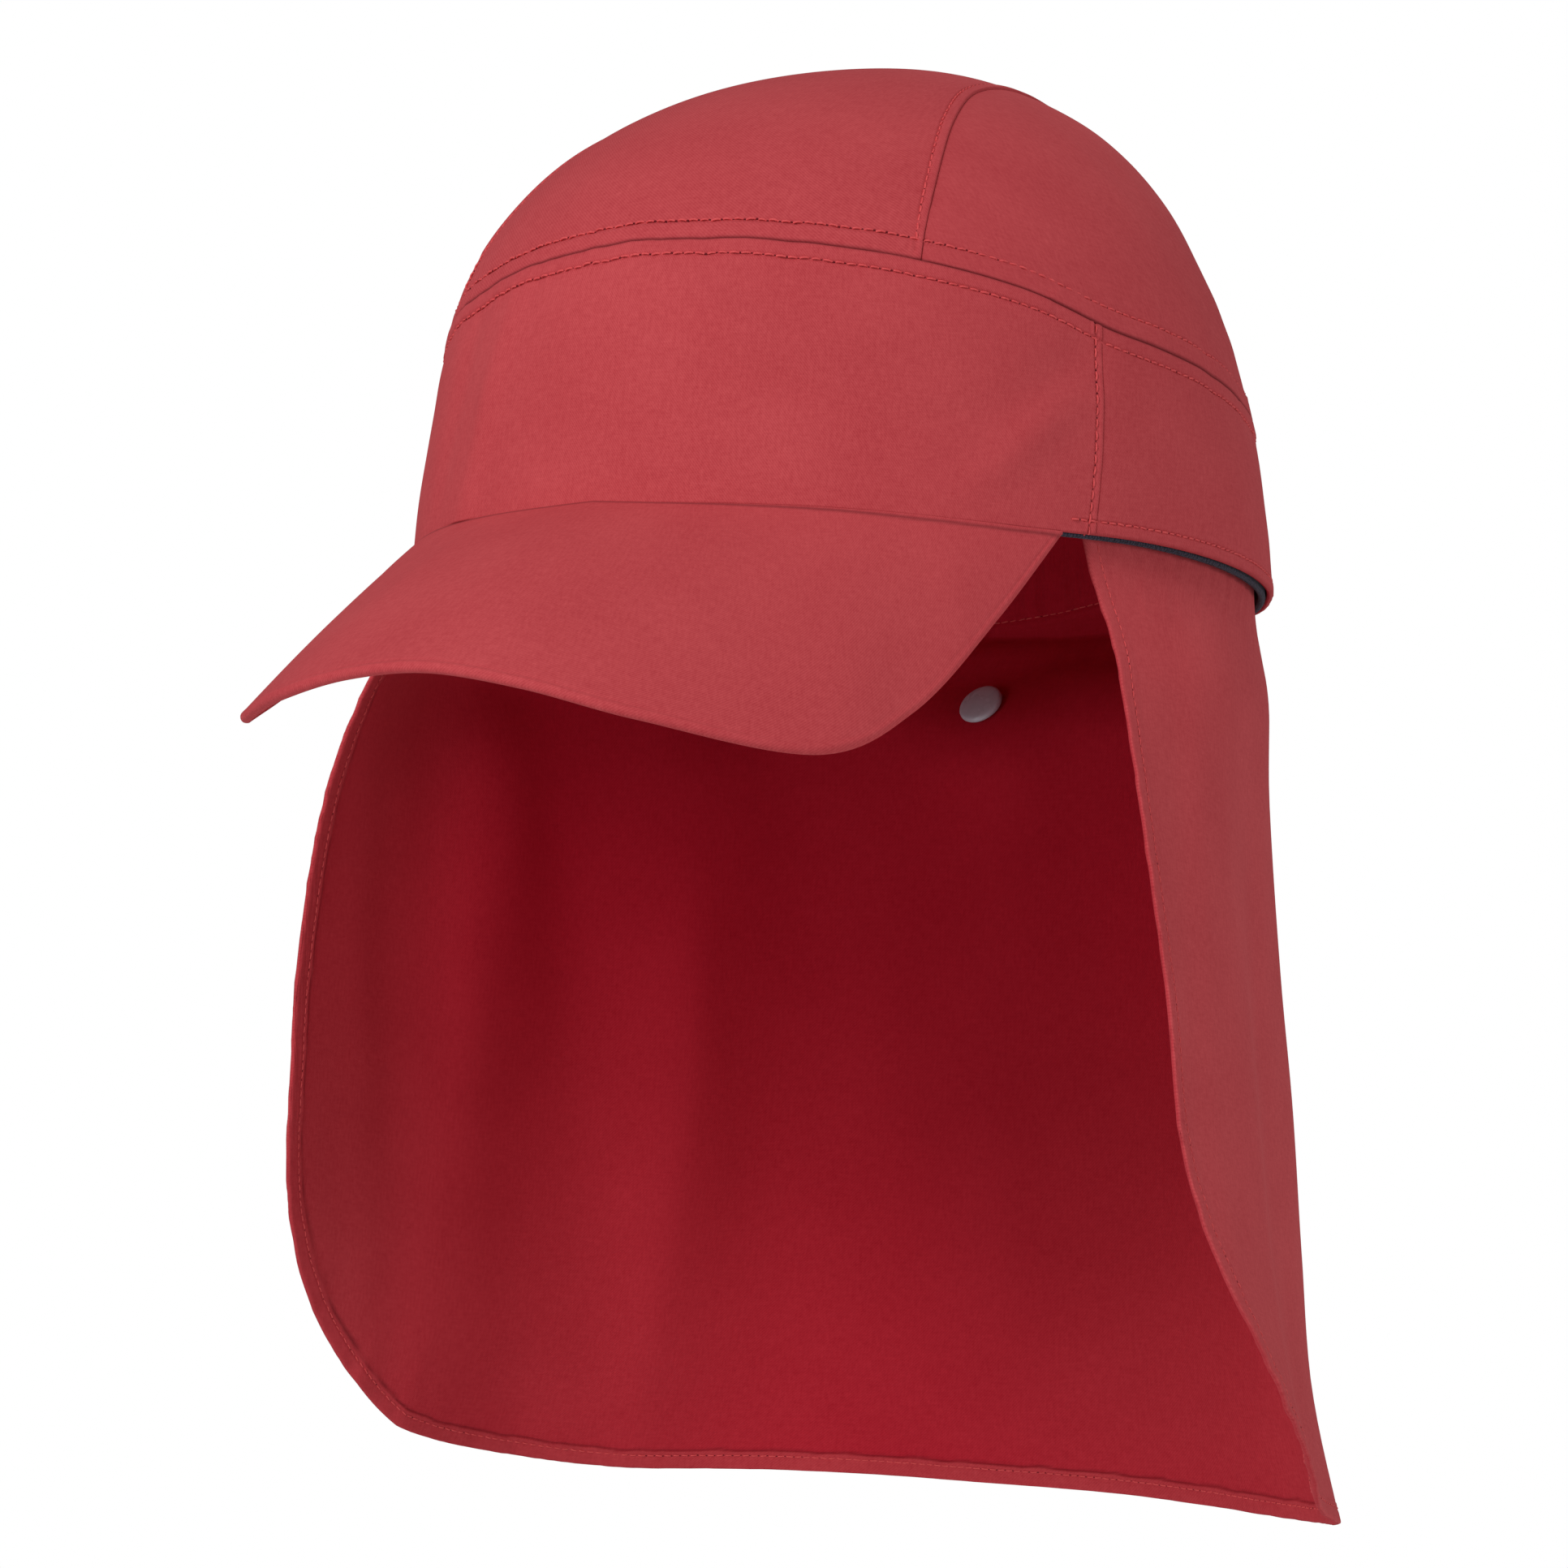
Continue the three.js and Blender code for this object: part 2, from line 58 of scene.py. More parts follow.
camera = add_object("camera", bpy.data.cameras.new("camera"))
camera.data.lens = CAMERA_LENS
camera.data.sensor_width = 36
camera.location = Vector(CAMERA_PLACE) * MM
camera.rotation_euler = (Vector(CAMERA_AIM) - Vector(CAMERA_PLACE)).to_track_quat("-Z", "Y").to_euler()
bpy.context.scene.camera = camera


# Crown panels
# Five pieces of a fine coral twill: a long top panel, a panel on each side of it, and a band round the
# front and the back below them. They are sewn edge to edge, and the folded allowances are topstitched
# flat beside the seams.
PANEL_WALL = 1.2
CROWN_TOP = 104.4
CROWN_BASE = -26
CROWN_LEAN = 0.04  # rise for each millimetre towards the wearer's left
CROWN_SECTIONS = [  # height, half width, reach to the front, reach to the back
    (-26, 87.0, 103.0, 107.5),
    (-8, 87.0, 102.0, 107.3),
    (12, 85.8, 99.6, 103.8),
    (30, 83.2, 95.8, 97.5),
    (45, 80.0, 92.6, 92.0),
    (60, 74.8, 87.4, 83.2),
    (73, 67.4, 77.0, 74.8),
    (86, 55.5, 60.5, 62.5),
    (95, 41.5, 42.0, 48.5),
    (101, 26.0, 21.0, 33.5),
    (104.4, 0.0, -14.0, 14.0),
]
WALL_RADIUS = 86  # of the wall at its sides, which turns a small angle round it into a length
RIM_LINE = [  # angle from the front, height
    (0, 11.3), (30, 8.6), (60, 3.0), (75, 0.4), (90, -3.2), (115, -9.8), (140, -15.0), (180, -17.0),
]
MAIN_SEAM = [  # angle from the front, height
    (0, 63.5), (20, 61.6), (40, 56.6), (60, 48.6), (75, 39.6), (90, 33.9), (120, 23.0), (150, 19.8),
    (180, 19.5),
]
SEAM_LEAN = 3.7  # rise of the main seam on the wearer's left, and its fall on the right
SEAM_WAVE = 0.16
TOP_PANEL = [  # place from front to back, half width
    (-70, 56.0), (-50, 50.5), (-30, 44.0), (-10, 38.5), (15, 36.0), (45, 38.0), (100, 45.0),
]
SIDE_SEAM_ANGLE = 67.3
SIDE_SEAM_LEAN = 0.124  # degrees for each millimetre of height
PEAK_ANGLE = 63

EDGE_OVERLAP = 0.1  # by which a panel runs past its seam, into the fold
FOLD_RADIUS = 0.62
BAND_STITCH_ROW = 3.6  # distance of each row of topstitching from its seam
CROWN_STITCH_ROW = 4.8
TOP_STITCH_ROW = 2.5
SIDE_STITCH_ROW = 1.6
RIM_STITCH_ROW = 2.7
MAIN_LIFT = 0.42  # how far the folded allowance of each seam lifts the cloth over it
RIM_LIFT = 0.3
SIDE_LIFT = 0.16
TOP_LIFT = 0.4
SIDE_DIP = 0.05  # how far the cloth sinks beside a seam that has its allowance on the other side
TOP_DIP = 0.15
FURROW = 0.42  # how far a row of stitches pulls the cloth in
FURROW_WIDTH = 0.4
SEAM_PUCKER = (0.16, 4.7, 2.5)  # height, length in degrees round the cap, reach from the stitches
RIM_PUCKER = (0.1, 4, 3)
TUCKED_EDGE = 3.1  # how much squarer than a soft fold a panel's edge is, where its neighbour hides it
SIDE_EDGE = 2.2  # the same of the front band's ends
TOP_EDGE = 1.4  # the same of the top panel's long edges
SEAM_REACH = 0.36  # how far from a seam its painted shade reaches
MAIN_SHADE = 0.65  # how far painted shade darkens the cloth in each seam, from 0 to 1
RIM_SHADE = 0.2
SIDE_SHADE = 0.1
TOP_SHADE = 0.15
SEAM_SPACING = (  # distances of the mesh's first rows from a seam
    0, 0.05, 0.15, 0.32, 0.55, 0.85, 1.2, 1.6, 1.9, 2.15, 2.4, 2.65, 2.95, 3.2, 3.4, 3.6, 3.8, 4.05,
    4.35, 4.6, 4.8, 5.0, 5.3, 5.7, 6.3,
)
OPEN_SPACING = (0, 0.4, 1.0, 1.9, 3.0)
HALVINGS = 40  # of a span that a place is looked for in
SEAM_PASSES = 4


def curve_through(rows, column):
    """A smooth curve through one column of a table, as a function of the table's first column."""
    keys = np.array([row[0] for row in rows], float)
    values = np.array([row[column] for row in rows], float)
    slopes = np.empty_like(values)
    slopes[1:-1] = (values[2:] - values[:-2]) / (keys[2:] - keys[:-2])
    slopes[0] = (values[1] - values[0]) / (keys[1] - keys[0])
    slopes[-1] = (values[-1] - values[-2]) / (keys[-1] - keys[-2])

    def curve(at):
        i = np.clip(np.searchsorted(keys, at) - 1, 0, len(keys) - 2)
        span = keys[i + 1] - keys[i]
        rise = values[i + 1] - values[i]
        t = np.clip((at - keys[i]) / span, 0, 1)
        bend = t * (1 - t) * ((slopes[i] * span - rise) * (1 - t) - (slopes[i + 1] * span - rise) * t)
        return values[i] + rise * t + bend

    return curve


def smooth_step(value, low, high):
    t = np.clip((value - low) / (high - low), 0, 1)
    return t * t * (3 - 2 * t)


def bump_at(value, middle, width):
    """A soft bump of height 1 round the middle value."""
    return np.exp(-(((value - middle) / width) ** 2))


def wander(at, longest, seed):
    """An irregular smooth wave between about -1 and 1. Its longest swing is in its argument's units."""
    draw = np.random.default_rng(seed)
    total = 0
    for share in (1.0, 0.62, 0.41, 0.27):
        total = total + share * np.sin(2 * math.pi * (at / (longest * share) + draw.random()))
    return total / 2


def wander_round(angle, longest, seed):
    """Such a wave round the cap, with its longest swing in degrees. It meets itself at the back."""
    turn = np.radians(angle)
    return wander(60 * np.sin(turn) + 33 * np.cos(turn), longest, seed)


def unit(vectors):
    return vectors / np.maximum(np.linalg.norm(vectors, axis=-1, keepdims=True), 1e-12)


def spread(length, step, fine):
    """Places from 0 to the length that crowd near both ends as the fine spacing says."""
    steps = max(2, round((length - 2 * fine[-1]) / step))
    middle = np.linspace(fine[-1], length - fine[-1], steps + 1)
    return np.concatenate([fine[:-1], middle, length - np.array(fine[-2::-1])])


def shares(length, step, fine):
    """Such places as shares of the length, which only has to be about right."""
    return spread(length, step, fine) / length


def running_length(path):
    return np.concatenate([[0], np.cumsum(np.linalg.norm(np.diff(path, axis=0), axis=1))])


rim_height = curve_through(RIM_LINE, 1)
even_seam_height = curve_through(MAIN_SEAM, 1)
top_half_width = curve_through(TOP_PANEL, 1)
crown_rows = [
    (math.sqrt((CROWN_TOP - height) / (CROWN_TOP - CROWN_BASE)), *reaches)
    for height, *reaches in CROWN_SECTIONS[::-1]
]
crown_half_width = curve_through(crown_rows, 1)
crown_front = curve_through(crown_rows, 2)
crown_back = curve_through(crown_rows, 3)


def from_front(angle):
    return np.abs((angle + 180) % 360 - 180)


def seam_height(angle):
    lean = SEAM_LEAN * np.sin(np.radians(angle))
    return even_seam_height(from_front(angle)) + lean + SEAM_WAVE * wander_round(angle, 13, 8)


def on_disc(angle, height):
    """The crown is laid out on a disc. This is the place on it of an angle from the front and a height."""
    ring = np.sqrt((CROWN_TOP - height) / (CROWN_TOP - CROWN_BASE))
    return np.stack([ring * np.sin(np.radians(angle)), -ring * np.cos(np.radians(angle))], -1)


def crown_surface(disc):
    ring = np.maximum(np.linalg.norm(disc, axis=-1), 1e-5)
    x = crown_half_width(ring) * disc[..., 0] / ring
    front, back = crown_front(ring), crown_back(ring)
    y = (back - front) / 2 + (back + front) / 2 * disc[..., 1] / ring
    return np.stack([x, y, CROWN_TOP - (CROWN_TOP - CROWN_BASE) * ring**2 + CROWN_LEAN * x], -1)


def crown_outward(disc):
    step = 1e-3
    surface = crown_surface(disc)
    along_side = crown_surface(disc + (step, 0)) - surface
    along_rear = crown_surface(disc + (0, step)) - surface
    return unit(np.cross(along_side, along_rear))


def crown_point(disc, depth):
    return crown_surface(disc) - crown_outward(disc) * np.asarray(depth)[..., None]


def disc_below(x, y):
    """The place on the disc of the crown's point at a position in plan."""
    low, high = np.full(np.shape(x), 0.02), np.ones(np.shape(x))
    for _ in range(HALVINGS):
        ring = (low + high) / 2
        front, back = crown_front(ring), crown_back(ring)
        side, rear = x / crown_half_width(ring), (y - (back - front) / 2) / ((back + front) / 2)
        outside = np.hypot(side, rear) > 1
        low, high = np.where(outside, ring, low), np.where(outside, high, ring)
    return np.stack([side, rear], -1) * ring[..., None]


def wall_place(disc):
    """Angle from the front, height before the lean, and the wall's length for each unit of height."""
    ring = np.linalg.norm(disc, axis=-1)
    angle = np.degrees(np.arctan2(disc[..., 0], -disc[..., 1]))
    height = CROWN_TOP - (CROWN_TOP - CROWN_BASE) * ring**2
    level = np.minimum(height, CROWN_TOP - 1)
    rise = crown_surface(on_disc(angle, level + 0.5)) - crown_surface(on_disc(angle, level - 0.5))
    return angle, height, np.linalg.norm(rise, axis=-1)


def cloth_width(disc):
    """Width of the top panel's cloth for each unit of its width in plan."""
    facing = crown_outward(disc)
    return np.sqrt(1 + (facing[..., 0] / np.maximum(facing[..., 2], 0.2)) ** 2)


CLOTH_WAVES = [(0.22, 0.35, 41, 3), (0.2, -3.3, 123, 4)]  # height, slant, length in degrees, seed
CREASES = [  # angle, height, length, width, direction from level in degrees, how far it stands out
    (18, 44, 24, 6.0, -34, 1.5),
    (27, 31, 24, 6.0, -30, -1.2),
    (-24, 30, 24, 4.5, 82, 1.1),
    (-33, 34, 24, 5.0, 84, -0.9),
    (58, 21, 13, 4.5, 35, 1.1),
    (66, 36, 12, 5.0, 20, -0.8),
    (-8, 26, 30, 8.0, 10, -0.7),
    (96, 8, 22, 7.0, 20, 0.6),
    (140, 6, 30, 9.0, -8, -0.7),
    (-110, 14, 26, 8.0, 12, 0.7),
    (-160, 5, 26, 8.0, 20, 0.6),
]


def creases(angle, height):
    """How far the worn cloth stands out from the crown's even surface, in soft waves and creases."""
    out = sum(swing * wander_round(angle + slant * height, length, seed)
              for swing, slant, length, seed in CLOTH_WAVES)
    out = out * smooth_step(CROWN_TOP - height, 2, 25)
    for at, level, length, width, direction, stands_out in CREASES:
        across = np.radians((angle - at + 180) % 360 - 180) * WALL_RADIUS
        up = height - level
        cosine, sine = math.cos(math.radians(direction)), math.sin(math.radians(direction))
        along_it = bump_at(across * cosine + up * sine, 0, length)
        across_it = bump_at(up * cosine - across * sine, 0, width)
        out = out + stands_out * along_it * across_it
    return out


def seam_fold(distance, row, lift):
    """Outward lift of the cloth over a folded allowance that is stitched down at the row's distance."""
    raised = lift * (1 - smooth_step(distance, row - 0.2, row + 1.1))
    return raised - (lift * 0.5 + FURROW) * bump_at(distance, row, FURROW_WIDTH)


def puckers(kind, angle, distance, seed):
    height, length, reach = kind
    return height * wander_round(angle, length, seed) * np.exp(-distance / reach)


def crown_edges(disc, panel):
    """Distance from a panel's nearest edge, how far the cloth is lifted beside it and by creases, and how
    far painted shade darkens it in a seam, from 0 to 1."""
    angle, height, stretch = wall_place(disc)
    around = from_front(angle)
    surface = crown_surface(disc)
    radius = np.linalg.norm(surface[..., :2], axis=-1)
    to_main = (height - seam_height(angle)) * stretch
    in_band = panel in ("front_band", "back_band")
    main_row = BAND_STITCH_ROW if in_band else CROWN_STITCH_ROW
    main_fold = seam_fold(np.abs(to_main), main_row, MAIN_LIFT)
    pucker = puckers(SEAM_PUCKER, angle, np.abs(np.abs(to_main) - main_row), 21)
    if in_band:
        side_angle = SIDE_SEAM_ANGLE + SIDE_SEAM_LEAN * height
        to_side = np.radians(around - side_angle) * radius
        to_rim = (height - rim_height(around)) * stretch
        beyond_peak = smooth_step(around, PEAK_ANGLE + 1, PEAK_ANGLE + 3)
        rim_fold = seam_fold(to_rim, RIM_STITCH_ROW, RIM_LIFT) * beyond_peak
        to_rim_edge = to_rim * (1 + (TUCKED_EDGE - 1) * (1 - beyond_peak))
        edges = [(-to_main, MAIN_SHADE, main_fold), (to_rim_edge, RIM_SHADE, rim_fold)]
        if panel == "front_band":
            side_fold = seam_fold(np.abs(to_side), SIDE_STITCH_ROW, SIDE_LIFT)
            edges.append((-to_side * SIDE_EDGE, SIDE_SHADE, side_fold))
        else:
            edges.append((to_side * TUCKED_EDGE, 0, -SIDE_DIP * bump_at(to_side, 0, 2)))
        pucker = pucker + puckers(RIM_PUCKER, angle, to_rim, 22) * beyond_peak
    else:
        beyond_top = (np.abs(surface[..., 0]) - top_half_width(surface[..., 1])) * cloth_width(disc)
        edges = [(to_main, MAIN_SHADE, main_fold)]
        if panel == "top_panel":
            top_fold = seam_fold(np.abs(beyond_top), TOP_STITCH_ROW, TOP_LIFT)
            edges.append((-beyond_top * TOP_EDGE, TOP_SHADE, top_fold))
        else:
            edges.append((beyond_top * TUCKED_EDGE, 0, -TOP_DIP * bump_at(beyond_top, 0, 3)))
    distances, darkness, lifts = zip(*edges)
    nearest = np.min(distances, axis=0) + EDGE_OVERLAP
    lowest = np.min(lifts, axis=0)
    highest = np.max(lifts, axis=0)
    lift = np.where(lowest < 0, lowest + np.maximum(highest, 0) * 0.5, highest)
    # Painted shade, strongest at each seam's edge.
    shades = [dark * bump_at(distance, 0, SEAM_REACH) for dark, distance in zip(darkness, distances)]
    return nearest, lift + pucker, creases(angle, height), np.max(shades, axis=0)


def round_off(distance, radius):
    """The share of its full thickness that a wall has at a distance from a rounded edge."""
    return np.sqrt(1 - (1 - np.clip(distance / radius, 0.003, 1)) ** 2)


def crown_faces(disc, panel):
    """Points of a panel's outer face and inner face, which meet half way through the wall at its edges."""
    nearest, lift, crease, _shade = crown_edges(disc, panel)
    fullness = round_off(nearest, FOLD_RADIUS)
    middle = PANEL_WALL / 2 - crease
    outer = crown_point(disc, middle - fullness * (PANEL_WALL / 2 + lift))
    inner = crown_point(disc, middle + fullness * PANEL_WALL / 2)
    return outer, inner


def cloth_lengths(points):
    """A flat pattern for a grid of points: lengths across and up it, in millimetres."""
    across = running_length(points[:, points.shape[1] // 2])
    up = np.stack([running_length(column) for column in points])
    return np.stack([np.broadcast_to(across[:, None], up.shape), up], -1)


def shell(name, outer, inner, pattern, finishes, goes_round=False, turned_and_painted_light=0, painted_shade=0):
    """A closed cloth wall between two grids of points in millimetres, which are joined along their edges.
    finishes are the materials of its outer and inner faces. Its last two arguments say how far the inner face
    has the outer face's colour, where a hem is turned and as painted light, and how far painted shade darkens
    the cloth in a seam and beside a hem: from 0 to 1, for both faces or each."""
    columns, rows = outer.shape[:2]
    on_edge = np.zeros((columns, rows), bool)
    on_edge[:, [0, -1]] = True
    if not goes_round:
        on_edge[[0, -1]] = True
    outer[on_edge] = inner[on_edge] = (outer[on_edge] + inner[on_edge]) / 2
    index = np.arange(columns * rows).reshape(columns, rows)
    if goes_round:
        index = np.vstack([index, index[:1]])
    at = np.indices((len(index) - 1, rows - 1)).reshape(2, -1).T
    corners = np.stack([at, at + (1, 0), at + (1, 1), at + (0, 1)], 1)
    quads = index[corners[..., 0], corners[..., 1]]
    flat = pattern[corners[..., 0], corners[..., 1]]
    faces = np.concatenate([quads, quads[:, ::-1] + columns * rows])
    corner_pattern = np.concatenate([flat, flat[:, ::-1]]).reshape(-1, 2)
    points = np.concatenate([outer.reshape(-1, 3), inner.reshape(-1, 3)]) * MM

    mesh = bpy.data.meshes.new(name)
    mesh.from_pydata(points.tolist(), [], faces.tolist())
    for finish in finishes:
        mesh.materials.append(finish)
    layer = mesh.uv_layers.new(name="pattern")
    layer.data.foreach_set("uv", corner_pattern.ravel())
    for label, values in (("painted_shade", painted_shade), ("turned_and_painted_light", turned_and_painted_light)):
        values = np.broadcast_to(values, (2, columns, rows))
        mesh.attributes.new(label, "FLOAT", "POINT").data.foreach_set("value", values.ravel())
    finish_index = np.repeat([0, len(finishes) - 1], len(quads))
    mesh.polygons.foreach_set("material_index", finish_index.astype(np.int32))
    build = bmesh.new()
    build.from_mesh(mesh)
    bmesh.ops.remove_doubles(build, verts=build.verts, dist=1e-6)
    bmesh.ops.dissolve_degenerate(build, edges=build.edges, dist=1e-7)
    bmesh.ops.recalc_face_normals(build, faces=build.faces)
    build.to_mesh(mesh)
    build.free()
    mesh.shade_smooth()
    return add_object(name, mesh)


class Socket:
    """A node's output. Arithmetic on it adds Math nodes."""

    def __init__(self, graph, socket):
        self.graph = graph
        self.socket = socket

    def math(self, operation, *values):
        return self.graph.node("ShaderNodeMath", {"operation": operation}, dict(enumerate(values)))

    def __add__(self, other):
        return self.math("ADD", self, other)

    def __sub__(self, other):
        return self.math("SUBTRACT", self, other)

    def __mul__(self, other):
        return self.math("MULTIPLY", self, other)

    def __rsub__(self, other):
        return self.math("SUBTRACT", other, self)

    def sine(self):
        return self.math("SINE", self)

    def clamped(self, low, high):
        return self.math("MINIMUM", self.math("MAXIMUM", self, low), high)


class Graph:
    """Adds nodes to a tree."""

    def __init__(self, tree):
        self.tree = tree

    def node(self, kind, settings=None, inputs=None, output=0):
        made = self.tree.nodes.new(kind)
        for name, value in (settings or {}).items():
            setattr(made, name, value)
        for name, value in (inputs or {}).items():
            if isinstance(value, Socket):
                self.tree.links.new(value.socket, made.inputs[name])
            else:
                made.inputs[name].default_value = value
        return Socket(self, made.outputs[output])

    def mix(self, factor, first, second):
        return self.node("ShaderNodeMix", {"data_type": "RGBA"}, {0: factor, 6: first, 7: second}, output=2)


def colour(red, green, blue):
    """A linear colour from its screen values, 0 to 255."""
    def linear(value):
        share = value / 255
        return share / 12.92 if share <= 0.04045 else ((share + 0.055) / 1.055) ** 2.4
    return (linear(red), linear(green), linear(blue), 1)


def new_material(name, constants):
    """A material with its surface shader's own values set, and the graph that its maps are added to."""
    material = bpy.data.materials.new(name)
    material.use_nodes = True
    graph = Graph(material.node_tree)
    shader = material.node_tree.nodes["Principled BSDF"]
    for key, value in constants.items():
        shader.inputs[key].default_value = value

    def connect(key, value):
        material.node_tree.links.new(value.socket, shader.inputs[key])

    return material, graph, connect


TWILL_PITCH = 0.55
STREAK_LENGTH = 4.0  # of a yarn's uneven places, for each unit of their width
YARN_CONTRAST = 0.38
# Painted shade: the dark red that seams, the peak's joint and the hem's edge are darkened towards, and how
# far at most.
PAINTED_SHADE_COLOUR = colour(62, 8, 16)
SEAM_DARKEST = 0.85


def woven_cloth(name, shades, twill=0.8, bump=0.06, sheen=0.25, outer_shades=None):
    """Fine twill with slightly uneven yarns, laid out on the piece's flat pattern in millimetres.
    Its shades are the base colour and the colours of its light and dark yarns."""
    base, light, dark = shades
    material, graph, connect = new_material(name, {
        "Sheen Weight": sheen, "Sheen Roughness": 0.45, "Sheen Tint": light, "Specular IOR Level": 0.2,
    })
    pattern = graph.node("ShaderNodeUVMap", {"uv_map": "pattern"})
    across = graph.node("ShaderNodeSeparateXYZ", None, {0: pattern}, 0)
    up = graph.node("ShaderNodeSeparateXYZ", None, {0: pattern}, 1)

    def grain(scale, stretch, detail=2.0):
        laid = graph.node("ShaderNodeMapping", None, {0: pattern, 3: (stretch[0], stretch[1], 1)})
        return graph.node("ShaderNodeTexNoise", {"noise_dimensions": "2D"},
                          {"Vector": laid, "Scale": scale, "Detail": detail, "Roughness": 0.6})

    ribs = ((across + up * 0.8) * (2 * math.pi / TWILL_PITCH)).sine() * 0.5 + 0.5
    yarns = grain(1.6, (1, 1 / STREAK_LENGTH))
    picks = grain(1.4, (1 / STREAK_LENGTH, 1))
    flecks = grain(2.6, (1, 1), 1.0)
    shade = grain(0.035, (1, 1), 3.0)
    uneven = yarns * 0.4 + picks * 0.3 + flecks * 0.3
    lightness = (ribs * 0.5 * twill + (uneven - 0.5) * 1.7 + (shade - 0.5) * 0.5 + 0.36).clamped(0, 1)
    cloth = graph.mix(YARN_CONTRAST, base, graph.mix(lightness, dark, light))
    # Where its attribute says, the cloth takes the outer shades instead: for a turned hem, and as painted
    # light.
    if outer_shades:
        base, light, dark = outer_shades
        turned_and_painted_light = graph.node("ShaderNodeAttribute", {"attribute_name": "turned_and_painted_light"}, None, 2)
        outer_cloth = graph.mix(YARN_CONTRAST, base, graph.mix(lightness, dark, light))
        cloth = graph.mix(turned_and_painted_light, cloth, outer_cloth)
    # Painted shade: the cloth darkens towards a dark red in seams and folds, where shade falls.
    painted_shade = graph.node("ShaderNodeAttribute", {"attribute_name": "painted_shade"}, None, 2)
    connect("Base Color", graph.mix(painted_shade * SEAM_DARKEST, cloth, PAINTED_SHADE_COLOUR))
    connect("Roughness", 0.9 - lightness * 0.12)
    connect("Normal", graph.node("ShaderNodeBump", None, {
        "Strength": 0.45, "Distance": bump * MM, "Height": ribs * (0.5 * twill) + uneven * 0.8,
    }))
    return material


CORAL = (colour(192, 63, 70), colour(222, 100, 102), colour(154, 38, 47))
# The inside faces get a darker, redder copy of the coral: painted shade for the shadow and red bounced light
# inside the cap.
SHADED_INSIDE_RED = (colour(180, 9, 38), colour(204, 34, 56), colour(144, 0, 22))
coral_twill = woven_cloth("coral_twill", CORAL)
shaded_inside_twill = woven_cloth("shaded_inside_twill", SHADED_INSIDE_RED, twill=0.6, bump=0.05, sheen=0.12, outer_shades=CORAL)


def panel_cloth(disc, name):
    outer, inner = crown_faces(disc, name)
    shade = crown_edges(disc, name)[3]
    finishes = (coral_twill, shaded_inside_twill)
    return shell(name + "_cloth", outer, inner, cloth_lengths(outer), finishes, painted_shade=shade)


def side_seam(hand, share):
    """The angle of a side seam at a share of the way up the band.
    The hand is 1 on the wearer's left and -1 on the right."""
    angle = hand * SIDE_SEAM_ANGLE
    for _ in range(SEAM_PASSES):
        height = rim_height(from_front(angle)) * (1 - share) + seam_height(angle) * share
        angle = hand * (SIDE_SEAM_ANGLE + SIDE_SEAM_LEAN * height)
    return angle


def band_panel(name, angle_shares, ends):
    """A band between the rim and the main seam. Its ends follow the side seams."""
    share, v = np.meshgrid(angle_shares, shares(50, 1.3, SEAM_SPACING), indexing="ij")
    start, end = ends(v)
    angle = start + (end - start) * share
    low = rim_height(from_front(angle)) - EDGE_OVERLAP
    high = seam_height(angle) + EDGE_OVERLAP
    disc = on_disc(angle, low + (high - low) * v)
    return panel_cloth(disc, name)


END_OVERLAP = math.degrees(EDGE_OVERLAP / WALL_RADIUS)


def front_ends(share):
    return side_seam(-1, share) - END_OVERLAP, side_seam(1, share) + END_OVERLAP


def back_ends(share):
    return side_seam(1, share) - END_OVERLAP, 360 + side_seam(-1, share) + END_OVERLAP


def above_main_seam(angle):
    """Just below the main seam's line, where the cloth above it runs into the fold."""
    return on_disc(angle, seam_height(angle) - EDGE_OVERLAP)


def seam_corner(hand, low, high):
    """The angle, between two others, where the top panel's seam meets the main seam."""
    for _ in range(HALVINGS):
        middle = (low + high) / 2
        inside = []
        for angle in (low, middle):
            x, y, _z = crown_surface(above_main_seam(hand * angle))
            inside.append(hand * x < top_half_width(y))
        low, high = (middle, high) if inside[0] == inside[1] else (low, middle)
    return hand * (low + high) / 2


FRONT_CORNERS = {hand: seam_corner(hand, 20, 80) for hand in (1, -1)}
BACK_CORNERS = {hand: seam_corner(hand, 100, 175) for hand in (1, -1)}


def beside_top_seam(hand, v, offset):
    """A line at an offset outside the top panel's seam, from its front corner to its back one."""
    corners = np.array([FRONT_CORNERS[hand], BACK_CORNERS[hand]])
    start, end = crown_surface(above_main_seam(corners))[:, 1]
    y = start + (end - start) * v
    return disc_below(hand * (top_half_width(y) + offset), y)


def top_panel():
    across, along = shares(90, 1.3, SEAM_SPACING), shares(185, 1.3, SEAM_SPACING)
    u, v = np.meshgrid(across, along, indexing="ij")
    left = beside_top_seam(1, v, EDGE_OVERLAP)
    right = beside_top_seam(-1, v, EDGE_OVERLAP)
    front_edge = above_main_seam(FRONT_CORNERS[-1] + (FRONT_CORNERS[1] - FRONT_CORNERS[-1]) * u)
    back_edge = above_main_seam(360 + BACK_CORNERS[-1] + (BACK_CORNERS[1] - BACK_CORNERS[-1] - 360) * u)
    front_from, front_to = front_edge[:1], front_edge[-1:]
    back_from, back_to = back_edge[:1], back_edge[-1:]
    u, v = u[..., None], v[..., None]
    disc = right + (left - right) * u
    disc = disc + (front_edge - front_from - (front_to - front_from) * u) * (1 - v)
    disc = disc + (back_edge - back_from - (back_to - back_from) * u) * v
    return panel_cloth(disc, "top_panel")


def crown_side_panel(name, hand):
    along, up = shares(230, 1.3, OPEN_SPACING), shares(80, 1.3, SEAM_SPACING)
    u, v = np.meshgrid(along, up, indexing="ij")
    low = above_main_seam(FRONT_CORNERS[hand] + (BACK_CORNERS[hand] - FRONT_CORNERS[hand]) * u)
    high = beside_top_seam(hand, u, -EDGE_OVERLAP)
    return panel_cloth(low + (high - low) * v[..., None], name)


